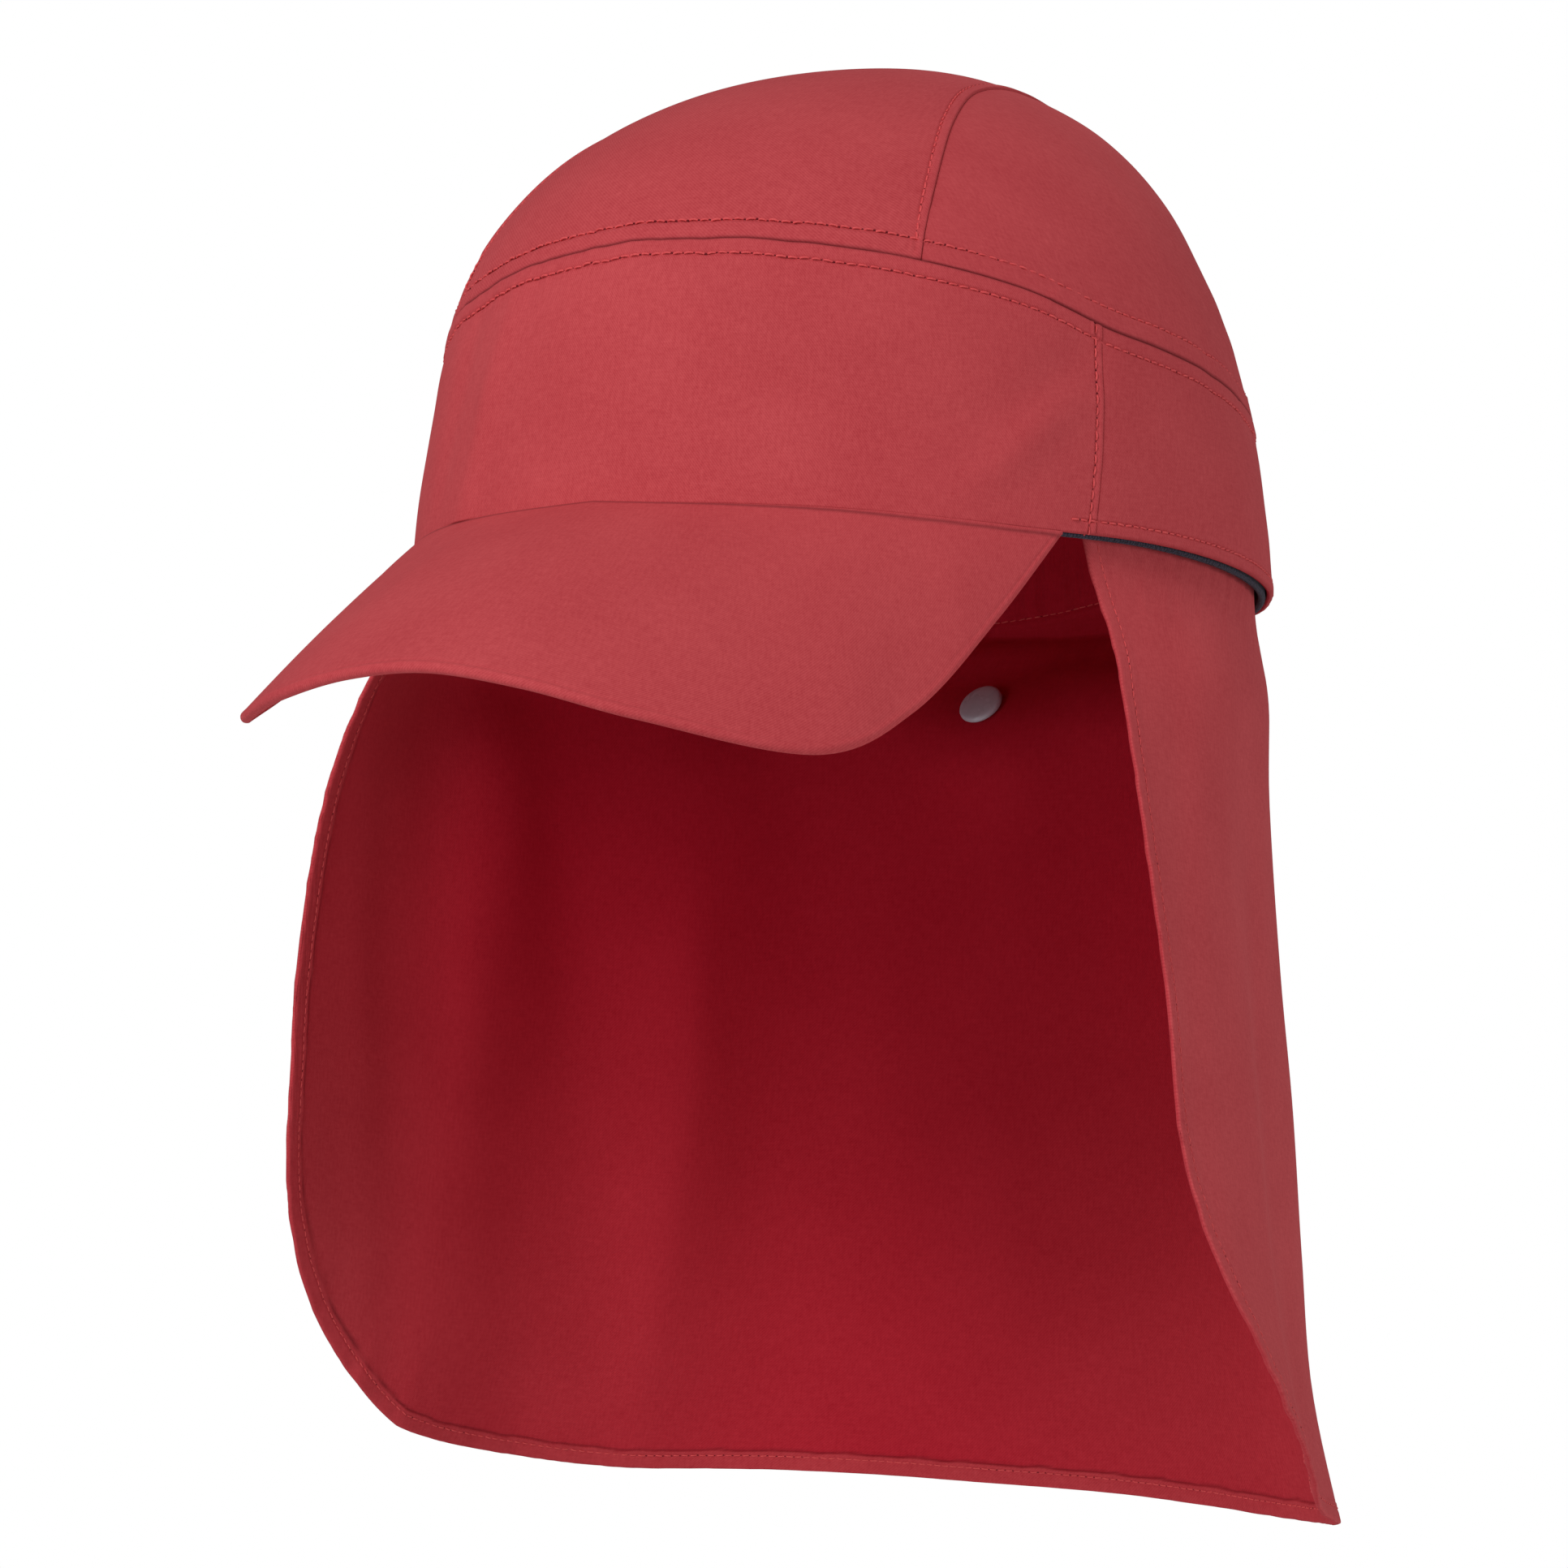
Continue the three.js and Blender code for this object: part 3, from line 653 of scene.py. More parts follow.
crown_cloth = {
    "front_band": band_panel("front_band", shares(220, 0.9, SEAM_SPACING), front_ends),
    "back_band": band_panel("back_band", shares(340, 1.1, SEAM_SPACING), back_ends),
    "top_panel": top_panel(),
    "left_crown_panel": crown_side_panel("left_crown_panel", 1),
    "right_crown_panel": crown_side_panel("right_crown_panel", -1),
}
for node, piece in crown_cloth.items():
    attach(piece, "root")
    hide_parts(node)


# Topstitching of the crown
# Spun polyester thread, a little lighter than the cloth, in rows of lockstitch beside every seam and
# round the rim behind the peak. Each stitch lies in the furrow that it pulls, with a small dark blob at
# its ends: painted shade in the needle holes.
STITCH_PITCH = 2.35
STITCH_LENGTH = 1.75
THREAD = 0.46
THREAD_STANDS = 0.16  # how far the thread's middle stands out of the cloth


def mottled(name, constants, shades, roughness, scale, detail=2.0):
    """A material whose two shades and roughnesses are mixed by noise, in the object's own place."""
    material, graph, connect = new_material(name, constants)
    place = graph.node("ShaderNodeTexCoord", None, None, 3)
    noise = graph.node("ShaderNodeTexNoise", None, {"Vector": place, "Scale": scale, "Detail": detail})
    connect("Base Color", graph.mix(noise, *shades))
    connect("Roughness", noise * (roughness[1] - roughness[0]) + roughness[0])
    return material


THREAD_SHADES = (colour(202, 58, 66), colour(236, 100, 100))
# The dark blobs at the stitches' ends are painted shade, for the shadow in each needle hole.
HOLE_SHADE_COLOURS = (colour(92, 20, 28), colour(126, 34, 42))
coral_thread = mottled("coral_thread", {"Specular IOR Level": 0.25}, THREAD_SHADES, (0.5, 0.7), 2200.0, 1.0)
needle_hole_shade = mottled("needle_hole_shade", {"Specular IOR Level": 0.1}, HOLE_SHADE_COLOURS, (0.85, 0.95), 900.0)


def sewing_tree():
    """Lays stitches along the curves of a wire mesh whose points say which way their cloth faces."""
    tree = bpy.data.node_groups.new("sewing", "GeometryNodeTree")
    sockets = [
        ("Rows", "NodeSocketGeometry", None),
        ("Pitch", "NodeSocketFloat", STITCH_PITCH * MM),
        ("Stitch Length", "NodeSocketFloat", STITCH_LENGTH * MM),
        ("Thread", "NodeSocketFloat", THREAD * MM),
        ("Seed", "NodeSocketInt", 5),
    ]
    for name, kind, value in sockets:
        made = tree.interface.new_socket(name, in_out="INPUT", socket_type=kind)
        if value is not None:
            made.default_value = value
    tree.interface.new_socket("Stitches", in_out="OUTPUT", socket_type="NodeSocketGeometry")
    graph = Graph(tree)
    given = tree.nodes.new("NodeGroupInput")
    rows, pitch, length, thread, seed = [Socket(graph, output) for output in given.outputs[:5]]

    lines = graph.node("GeometryNodeMeshToCurve", None, {"Mesh": rows})
    lines = graph.node("GeometryNodeResampleCurve", {"mode": "LENGTH"}, {"Curve": lines, "Length": pitch})
    tangent = graph.node("GeometryNodeInputTangent")
    facing = graph.node("GeometryNodeInputNamedAttribute", {"data_type": "FLOAT_VECTOR"}, {"Name": "facing"})
    turn = graph.node("FunctionNodeAxesToRotation", {"primary_axis": "Z", "secondary_axis": "X"},
                      {"Primary Axis": facing, "Secondary Axis": tangent})
    askew = graph.node("FunctionNodeRandomValue", {"data_type": "FLOAT_VECTOR"},
                       {0: (-0.05, -0.05, -0.13), 1: (0.05, 0.05, 0.13), "Seed": seed})
    turn = graph.node("FunctionNodeRotateRotation", {"rotation_space": "LOCAL"}, {0: turn, 1: askew})
    size = graph.node("FunctionNodeRandomValue", {"data_type": "FLOAT"}, {2: 0.88, 3: 1.08, "Seed": seed}, 1)

    def vector(x, y, z):
        return graph.node("ShaderNodeCombineXYZ", None, {0: x, 1: y, 2: z})

    arc = graph.node("GeometryNodeCurveQuadraticBezier", None, {
        "Resolution": 4,
        "Start": vector(length * -0.5, 0.0, thread * -0.35),
        "Middle": vector(0.0, 0.0, thread * 0.9),
        "End": vector(length * 0.5, 0.0, thread * -0.35),
    })
    ring = graph.node("GeometryNodeCurvePrimitiveCircle", {"mode": "RADIUS"}, {
        "Resolution": 6, "Radius": thread * 0.5,
    })
    stitch = graph.node("GeometryNodeCurveToMesh", None, {
        "Curve": arc, "Profile Curve": ring, "Fill Caps": True,
    })
    stitch = graph.node("GeometryNodeSetMaterial", None, {"Geometry": stitch, "Material": coral_thread})
    # A small dark blob, half sunk at the stitch's end: painted shade in its needle hole.
    hole_shade = graph.node("GeometryNodeMeshUVSphere", None, {"Segments": 8, "Rings": 4, "Radius": thread * 0.5})
    hole_shade = graph.node("GeometryNodeTransform", None, {
        "Geometry": hole_shade, "Translation": vector(pitch * 0.5, 0.0, thread * -0.42), "Scale": (1.25, 0.9, 0.7)
    })
    hole_shade = graph.node("GeometryNodeSetMaterial", None, {"Geometry": hole_shade, "Material": needle_hole_shade})
    both = tree.nodes.new("GeometryNodeJoinGeometry")
    tree.links.new(hole_shade.socket, both.inputs[0])
    tree.links.new(stitch.socket, both.inputs[0])
    placed = graph.node("GeometryNodeInstanceOnPoints", None, {
        "Points": lines, "Instance": Socket(graph, both.outputs[0]), "Rotation": turn, "Scale": size
    })
    real = graph.node("GeometryNodeRealizeInstances", None, {"Geometry": placed})
    smooth = graph.node("GeometryNodeSetShadeSmooth", None, {"Geometry": real})
    result = tree.nodes.new("NodeGroupOutput")
    tree.links.new(smooth.socket, result.inputs[0])
    return tree


sewing = sewing_tree()


def stitched(name, rows, settings=None):
    """Rows of stitches, each given as its points and the ways that their cloth faces, as one mesh."""
    points = np.concatenate([row[0] for row in rows]) * MM
    facings = np.concatenate([row[1] for row in rows])
    edges = []
    start = 0
    for row in rows:
        edges += [(start + i, start + i + 1) for i in range(len(row[0]) - 1)]
        start += len(row[0])
    wire = bpy.data.meshes.new(name)
    wire.from_pydata(points.tolist(), edges, [])
    wire.attributes.new("facing", "FLOAT_VECTOR", "POINT").data.foreach_set("vector", facings.ravel())
    piece = add_object(name, wire)
    modifier = piece.modifiers.new("sewing", "NODES")
    modifier.node_group = sewing
    for item in sewing.interface.items_tree:
        if item.in_out == "INPUT" and item.name in (settings or {}):
            modifier[item.identifier] = settings[item.name]
    bpy.context.view_layer.update()
    result = bpy.data.meshes.new_from_object(piece.evaluated_get(bpy.context.evaluated_depsgraph_get()))
    piece.modifiers.remove(modifier)
    piece.data = result
    bpy.data.meshes.remove(wire)
    return piece


def laid_on(faces, outward, side, stands):
    """A row's points, which stand a little out of the outer or inner face, and the way that it faces."""
    if side == "outer":
        return faces[0] + outward * stands, outward
    return faces[1] - outward * stands, -outward


def along_main_seam(angles, offset):
    """Places at a distance above the main seam, or below it where the offset is negative."""
    level = seam_height(angles)
    _angle, _height, stretch = wall_place(on_disc(angles, level))
    return on_disc(angles, level + offset / stretch)


def sewn_lines():
    """Every row's places on the disc, and its panel. A row stops a stitch or two short of a seam that
    ends it."""
    front = np.linspace(-SIDE_SEAM_ANGLE - 4, SIDE_SEAM_ANGLE + 4, 220)
    back = np.linspace(SIDE_SEAM_ANGLE + 5, 360 - SIDE_SEAM_ANGLE - 5, 330)
    top_front = np.linspace(FRONT_CORNERS[-1] + 0.5, FRONT_CORNERS[1] - 0.5, 160)
    top_back = np.linspace(BACK_CORNERS[1] + 1, BACK_CORNERS[-1] + 359, 120)
    lines = [
        (along_main_seam(front, -BAND_STITCH_ROW), "front_band"),
        (along_main_seam(back, -BAND_STITCH_ROW), "back_band"),
        (along_main_seam(top_front, CROWN_STITCH_ROW), "top_panel"),
        (along_main_seam(top_back, CROWN_STITCH_ROW), "top_panel"),
    ]
    for hand, panel in ((-1, "right_crown_panel"), (1, "left_crown_panel")):
        sides = hand * np.linspace(abs(FRONT_CORNERS[hand]) + 1.5, abs(BACK_CORNERS[hand]) - 2, 200)
        lines.append((along_main_seam(sides, CROWN_STITCH_ROW), panel))
        edge = beside_top_seam(hand, np.linspace(0.012, 0.99, 200), 0)
        y = crown_surface(edge)[:, 1]
        inside = top_half_width(y) - TOP_STITCH_ROW / cloth_width(edge)
        lines.append((disc_below(hand * inside, y), "top_panel"))
        lowest = rim_height(SIDE_SEAM_ANGLE) + 0.8
        highest = seam_height(hand * (SIDE_SEAM_ANGLE + 5)) - 1
        height = np.linspace(lowest, highest, 80)
        angle = SIDE_SEAM_ANGLE + SIDE_SEAM_LEAN * height - math.degrees(SIDE_STITCH_ROW / WALL_RADIUS)
        lines.append((on_disc(hand * angle, height), "front_band"))
        for start, end, panel in (
            (PEAK_ANGLE + 1.5, SIDE_SEAM_ANGLE, "front_band"),
            (SIDE_SEAM_ANGLE + 0.5, 179.6, "back_band"),
        ):
            around = np.linspace(start, end, max(8, int((end - start) * 1.6)))
            level = rim_height(around)
            _angle, _height, stretch = wall_place(on_disc(around, level + 1))
            lines.append((on_disc(hand * around, level + RIM_STITCH_ROW / stretch), panel))
    return lines


for name, side in (("crown_stitches", "outer"), ("crown_stitches_inside", "inner")):
    piece = stitched(name, [
        laid_on(crown_faces(disc, panel), crown_outward(disc), side, THREAD_STANDS)
        for disc, panel in sewn_lines()
    ])
    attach(piece, "root")


# Sweatband
# A strip of charcoal looped knit that takes up sweat. It is sewn inside the rim all the way round, and its
# folded edge shows a little below the crown's cloth.
SWEATBAND_WALL = 1.6
SWEATBAND_SHOWS = 0.8
SWEATBAND_HEIGHT = 28
SWEATBAND_RADIUS = 90  # a round figure that turns an angle round it into a length
SWEATBAND_RIPPLE = 0.072
PANEL_GAP = 0.3
LOOP_PITCH = 0.8
RIPPLE_PITCH = 3.8

knit, knit_graph, knit_connect = new_material(
    "charcoal_knit", {"Sheen Weight": 0.1, "Sheen Roughness": 0.6, "Specular IOR Level": 0.1}
)
knit_pattern = knit_graph.node("ShaderNodeUVMap", {"uv_map": "pattern"})
knit_loops = knit_graph.node("ShaderNodeTexVoronoi", {"voronoi_dimensions": "2D", "feature": "F1"},
                             {"Vector": knit_pattern, "Scale": 1 / LOOP_PITCH, "Randomness": 0.55})
knit_fibres = knit_graph.node("ShaderNodeTexNoise", {"noise_dimensions": "2D"},
                              {"Vector": knit_pattern, "Scale": 3.0, "Detail": 3.0})
knit_tone = (1 - knit_loops * 1.2 + (knit_fibres - 0.5) * 0.6).clamped(0, 1)
knit_connect("Base Color", knit_graph.mix(knit_tone, colour(13, 13, 20), colour(66, 66, 86)))
knit_connect("Roughness", knit_fibres * 0.2 + 0.75)
knit_connect("Normal", knit_graph.node("ShaderNodeBump", None, {
    "Strength": 0.9, "Distance": 0.35 * MM, "Height": knit_tone,
}))


def sweatband():
    angles = np.linspace(0, 360, 480, endpoint=False)
    up = shares(SWEATBAND_HEIGHT, 1, (0, 0.08, 0.25, 0.5, 0.8, 1.2))
    angle, v = np.meshgrid(angles, up, indexing="ij")
    rim = rim_height(from_front(angle))
    height = rim - SWEATBAND_SHOWS + (SWEATBAND_HEIGHT + SWEATBAND_SHOWS) * v
    disc = on_disc(angle, height)
    _angle, _height, stretch = wall_place(disc)
    along = np.radians(angle) * SWEATBAND_RADIUS
    from_edge = np.minimum(height - rim + SWEATBAND_SHOWS, rim + SWEATBAND_HEIGHT - height) * stretch
    fullness = round_off(from_edge, SWEATBAND_WALL / 2)
    ripple = SWEATBAND_RIPPLE * np.sin(2 * math.pi * along / RIPPLE_PITCH) * bump_at(from_edge, 0, 1.5)
    middle = PANEL_WALL + PANEL_GAP + SWEATBAND_WALL / 2
    outer = crown_point(disc, middle - fullness * SWEATBAND_WALL / 2)
    inner = crown_point(disc, middle + fullness * (SWEATBAND_WALL / 2 + ripple))
    pattern = cloth_lengths(np.concatenate([outer, outer[:1]]))
    return shell("sweatband_knit", outer, inner, pattern, (knit,), goes_round=True)


sweatband_knit = sweatband()
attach(sweatband_knit, "root")
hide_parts("sweatband")


# Peak
# A stiff curved board wrapped in the crown's twill. The cover is turned over the board's edge and closed
# with a fine seam just under it, and the peak's back edge is caught in the front band's seam.
PEAK_WALL = 2.4
PEAK_CAMBER = 3
PEAK_WAVE = 0.25
PEAK_LEAN = -0.034  # rise of its edge for each millimetre towards the wearer's left
PEAK_TUCK = 0.9  # by which its back edge rises into the band's fold
PEAK_SHADE = 0.55  # how far painted shade darkens its cloth beside that fold
PEAK_ROLLS = {  # the turned edge's rolls and grooves on each face: rise, distance from the edge, width
    "top": [(0.07, 0.9, 0.5), (-0.16, 1.75, 0.22)],
    "under": [(0.1, 0.7, 0.3), (-0.35, 1.35, 0.24)],
}
PEAK_EDGE = [  # across, forward, height of the wearer's left half, from the middle to near the corner
    (0.0, 161.0, -20.0),
    (20.0, 158.5, -22.2),
    (41.0, 150.8, -27.3),
    (67.2, 124.5, -33.5),
    (71.8, 98.0, -26.0),
    (73.8, 67.0, -8.0),
]


def smooth_path(points, t):
    """A smooth path through points, of which there may be another set for each t from 0 to 1."""
    points = np.asarray(points, float)
    if points.ndim == 2:
        points = np.broadcast_to(points, (*np.shape(t), *points.shape))
    first = 2 * points[..., :1, :] - points[..., 1:2, :]
    last = 2 * points[..., -1:, :] - points[..., -2:-1, :]
    points = np.concatenate([first, points, last], axis=-2)
    spans = points.shape[-2] - 3
    at = np.clip(np.asarray(t) * spans, 0, spans)
    i = np.minimum(at.astype(int), spans - 1)
    w = (at - i)[..., None]
    near = [np.take_along_axis(points, (i + k)[..., None, None], axis=-2)[..., 0, :] for k in range(4)]
    gaps = [np.linalg.norm(near[k + 1] - near[k], axis=-1, keepdims=True) ** 0.5 for k in range(3)]
    slopes = [(near[k + 1] - near[k]) / gaps[k] for k in range(3)]
    leave = (slopes[0] - (near[2] - near[0]) / (gaps[0] + gaps[1]) + slopes[1]) * gaps[1]
    reach = (slopes[1] - (near[3] - near[1]) / (gaps[1] + gaps[2]) + slopes[2]) * gaps[1]
    rise = near[2] - near[1]
    return near[1] + leave * w + (3 * rise - 2 * leave - reach) * w**2 + (leave + reach - 2 * rise) * w**3


def peak_rolls(face, from_edge):
    return sum(rise * bump_at(from_edge, at, width) for rise, at, width in PEAK_ROLLS[face])


def peak_base(across):
    angle = PEAK_ANGLE * np.asarray(across, float)
    return crown_point(on_disc(angle, rim_height(np.abs(angle)) + PEAK_TUCK), PANEL_WALL)


def peak():
    left_half = [np.array([x, -forward, z + PEAK_LEAN * x]) for x, forward, z in PEAK_EDGE]
    right_half = [np.array([-x, -forward, z - PEAK_LEAN * x]) for x, forward, z in PEAK_EDGE[:0:-1]]
    edge_points = [peak_base(-1), *right_half, *left_half, peak_base(1)]
    t = np.linspace(0, 1, 4001)
    path = smooth_path(edge_points, t)
    run = running_length(path)

    u_at = shares(330, 1, (0, 0.1, 0.3, 0.6, 1.0, 1.5))
    v_at = shares(72, 1.2, (0, 0.06, 0.18, 0.36, 0.6, 0.85, 1.1, 1.35, 1.6, 1.9, 2.3, 2.9))
    u, v = np.meshgrid(u_at, v_at, indexing="ij")
    across = 2 * u - 1
    edge = smooth_path(edge_points, np.interp(u * run[-1], run, t))
    base = peak_base(across)
    point = base + (edge - base) * v[..., None]
    point[..., 2] += PEAK_CAMBER * np.sin(math.pi * v) * (1 - across**2)
    point[..., 2] += PEAK_WAVE * wander(across * 150, 60, 31) * np.sin(math.pi * v)

    length = np.linalg.norm(edge - base, axis=-1)
    along = np.gradient(point, axis=0)
    out = np.gradient(point, axis=1)
    sine = np.linalg.norm(np.cross(unit(along), unit(out)), axis=-1)
    from_edge = (1 - v) * length * sine
    from_base = v * length
    fullness = np.minimum(round_off(from_edge, PEAK_WALL / 2), round_off(from_base, 0.2))
    top = fullness * PEAK_WALL / 2 + peak_rolls("top", from_edge)
    under = fullness * PEAK_WALL / 2 + peak_rolls("under", from_edge)
    facing = unit(np.cross(along, out))
    facing = facing * np.sign(facing[len(u_at) // 2, len(v_at) // 2, 2])
    middle = point - (0, 0, PEAK_WALL / 2)
    upper = middle + facing * top[..., None]
    lower = middle - facing * under[..., None]
    # Painted shade along the joint, where the peak runs under the band's fold.
    shade = PEAK_SHADE * bump_at(from_base, 1.4, 0.5)
    return shell("peak_cloth", upper, lower, cloth_lengths(upper), (coral_twill,), painted_shade=shade)


peak_cloth = peak()
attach(peak_cloth, "root")
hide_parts("peak")


# Neck cape
# One sheet of the same cloth, thinner and softer, gathered to the inside of the sweatband from one temple
# round the back to the other. It hangs free below the rim, and its edge is turned to the inside and
# stitched down.
CAPE_WALL = 1.0
CAPE_GAP = 0.45
CAPE_TUCK = 24  # how far it reaches up inside the sweatband
CAPE_ANGLE = 68  # of its front edges at the rim, from the front
CAPE_SECTIONS = [  # height, side, back, front edge across, front edge forward
    (10, 86.0, 97.0, 74.0, 30.0),
    (-12, 91.3, 92.2, 84.3, 38.5),
    (-27, 94.4, 88.5, 91.2, 45.7),
    (-52, 95.3, 87.7, 98.5, 50.8),
    (-88, 98.4, 87.8, 104.8, 51.7),
    (-116, 101.7, 87.6, 107.6, 50.9),
    (-147, 104.9, 86.3, 115.0, 45.6),
    (-176, 109.5, 83.0, 124.2, 36.5),
    (-212, 121.0, 81.5, 133.2, 21.0),
]
CAPE_LEAVES = 1  # how far below the rim it leaves the sweatband
CAPE_JOIN = 22  # how far below the rim it hangs free
CAPE_FLARE = 2  # above 1, it turns outwards fastest where it leaves the sweatband
HEM_HEIGHT = -208
HEM_RISE = 5  # of the hem from the middle of the back to the front edges
CORNER_START = 0.17  # place round the cape where the hem begins to turn up
CORNER_TOP = -113
CORNER_POWER = 2.33  # of the hem's round corner: 2 is a plain ellipse, and more is squarer
CAPE_FOLDS = [  # place round the cape, width, depth, height where it is deepest, reach above and below that
    (-0.64, 0.09, 5.5, -60, 100),
    (-0.36, 0.10, 10.0, -115, 95),
    (-0.03, 0.10, 8.0, -130, 72),
    (0.27, 0.09, 3.0, -120, 90),
    (0.64, 0.08, 2.0, -120, 90),
]
FOLD_START = -12
FOLD_FULL = -50
CAPE_WAVE = 0.5
HALF_GIRTH = 190  # half its width at mid height

CAPE_CLOTH = 0.62
HEM_WIDTH = 4.3
HEM_STITCH_ROW = 3.2
HEM_STEP = 0.42  # thickness of the turned layer
HEM_FURROW = 0.2
HEM_PUCKER = 0.14
HEM_SHADE = 0.5  # how far painted shade darkens the cloth beside the turned layer
HEM_PALE = 0.65  # how far the turned layer has the outer face's colour
PALEST = 0.6  # how far painted light gives the rest of the inner face the outer face's colour, lower down and near the front edges
CORNER_PUCKER = 0.3
CORNER_PLACE = 0.27  # of each lower corner, as a share of the free edge
GATHER_ROW = 5.4  # height of the gathering stitches over the rim, and its sway
GATHER_SWAY = 3.0
GATHER_FURROW = 0.3
SNAP_AROUND = -0.058  # place of the snap round the cape
SNAP_HEIGHT = -34
SLANT_ACROSS = 0.25  # slope of the cloth there, towards the wearer's left
SLANT_UP = -0.55
SLANT_REACH = 15

cape_side, cape_back, cape_edge_across, cape_edge_forward = (
    curve_through(CAPE_SECTIONS[::-1], column) for column in (1, 2, 3, 4)
)


def hanging_point(around, height):
    """A point of the free cape: level curves from one front edge round the back to the other."""
    side, back = cape_side(height), cape_back(height)
    quarter = math.sqrt(0.5)
    zero = np.zeros_like(side)
    front_edge = (cape_edge_across(height), -cape_edge_forward(height))
    half = [(side * quarter, back * quarter), (side, zero), front_edge]
    level = [(-x, y) for x, y in half[::-1]] + [(zero, back)] + half
    points = np.stack([np.stack([x, y, height], -1) for x, y in level], -2)
    return smooth_path(points, (around + 1) / 2)


def cape_rim(around):
    return rim_height(from_front(180 - (180 - CAPE_ANGLE) * around))


def cape_surface(around, below):
    angle = 180 - (180 - CAPE_ANGLE) * around
    rim = cape_rim(around)
    depth = np.full(np.shape(below), PANEL_WALL + PANEL_GAP + SWEATBAND_WALL + CAPE_GAP)
    tucked = crown_point(on_disc(angle, np.maximum(rim - below, CROWN_BASE + 2)), depth)
    hanging = hanging_point(around, rim - below)
    to_join = np.clip((CAPE_JOIN - below) / (CAPE_JOIN - CAPE_LEAVES), 0, 1)
    return tucked + (hanging - tucked) * (1 - to_join**CAPE_FLARE)[..., None]


def cape_slopes(around, below):
    """How the cape's surface runs for each unit round it and for each millimetre down it."""
    ahead, behind = np.minimum(around + 1e-3, 1), np.maximum(around - 1e-3, -1)
    along = (cape_surface(ahead, below) - cape_surface(behind, below)) / np.asarray(ahead - behind)[..., None]
    return along, (cape_surface(around, below + 0.05) - cape_surface(around, below)) / 0.05


def cape_inward(around, below):
    along, down = cape_slopes(around, below)
    return unit(np.cross(down, along))


def cape_folds(around, height):
    """How far soft upright folds bring the hanging cloth inwards."""
    folds = 0
    for at, width, depth, level, reach in CAPE_FOLDS:
        folds = folds + depth * bump_at(around, at, width) * bump_at(height, level, reach)
    return (1 - smooth_step(height, FOLD_FULL, FOLD_START)) * folds


def snap_slant(around, height):
    """How far it comes inwards because it slants where the snap is pressed through it."""
    across = (around - SNAP_AROUND) * HALF_GIRTH
    up = height - SNAP_HEIGHT
    return (SLANT_ACROSS * across + SLANT_UP * up) * np.exp(-(across**2 + up**2) / SLANT_REACH**2)


def hem_below(around):
    level = HEM_HEIGHT + HEM_RISE * around**2
    corner = np.clip((np.abs(around) - CORNER_START) / (1 - CORNER_START), 0, 1)
    oval = (1 - corner**CORNER_POWER) ** (1 / CORNER_POWER)
    return cape_rim(around) - level - (CORNER_TOP - level) * (1 - oval)


def cape_outline():
    """The cape's free edge, from the rim down one front edge, along the hem and up the other one."""
    down = np.linspace(CAPE_LEAVES - 14, hem_below(np.array(1.0)), 300)
    sweep = np.sin(np.linspace(-math.pi / 2, math.pi / 2, 1600))
    around = np.concatenate([np.full(300, -1.0), sweep, np.full(300, 1.0)])
    below = np.concatenate([down, hem_below(sweep), down[::-1]])
    return around, below


outline_around, outline_below = cape_outline()
outline = cape_surface(outline_around, outline_below)
outline_run = running_length(outline)
outline_tree = KDTree(len(outline))
for i, point in enumerate(outline):
    outline_tree.insert(point, i)
outline_tree.balance()


def to_outline(points):
    """Distance to the cape's free edge, and how far along that edge the nearest place is."""
    found = [outline_tree.find(point) for point in points.reshape(-1, 3)]
    distance = np.array([hit[2] for hit in found]).reshape(points.shape[:-1])
    run = outline_run[[hit[1] for hit in found]].reshape(points.shape[:-1])
    return distance, run


def gather_below(around):
    """How far below the rim the gathering stitches run: less than nothing, as they are above it."""
    return -GATHER_ROW - GATHER_SWAY * np.sin(9 * around)


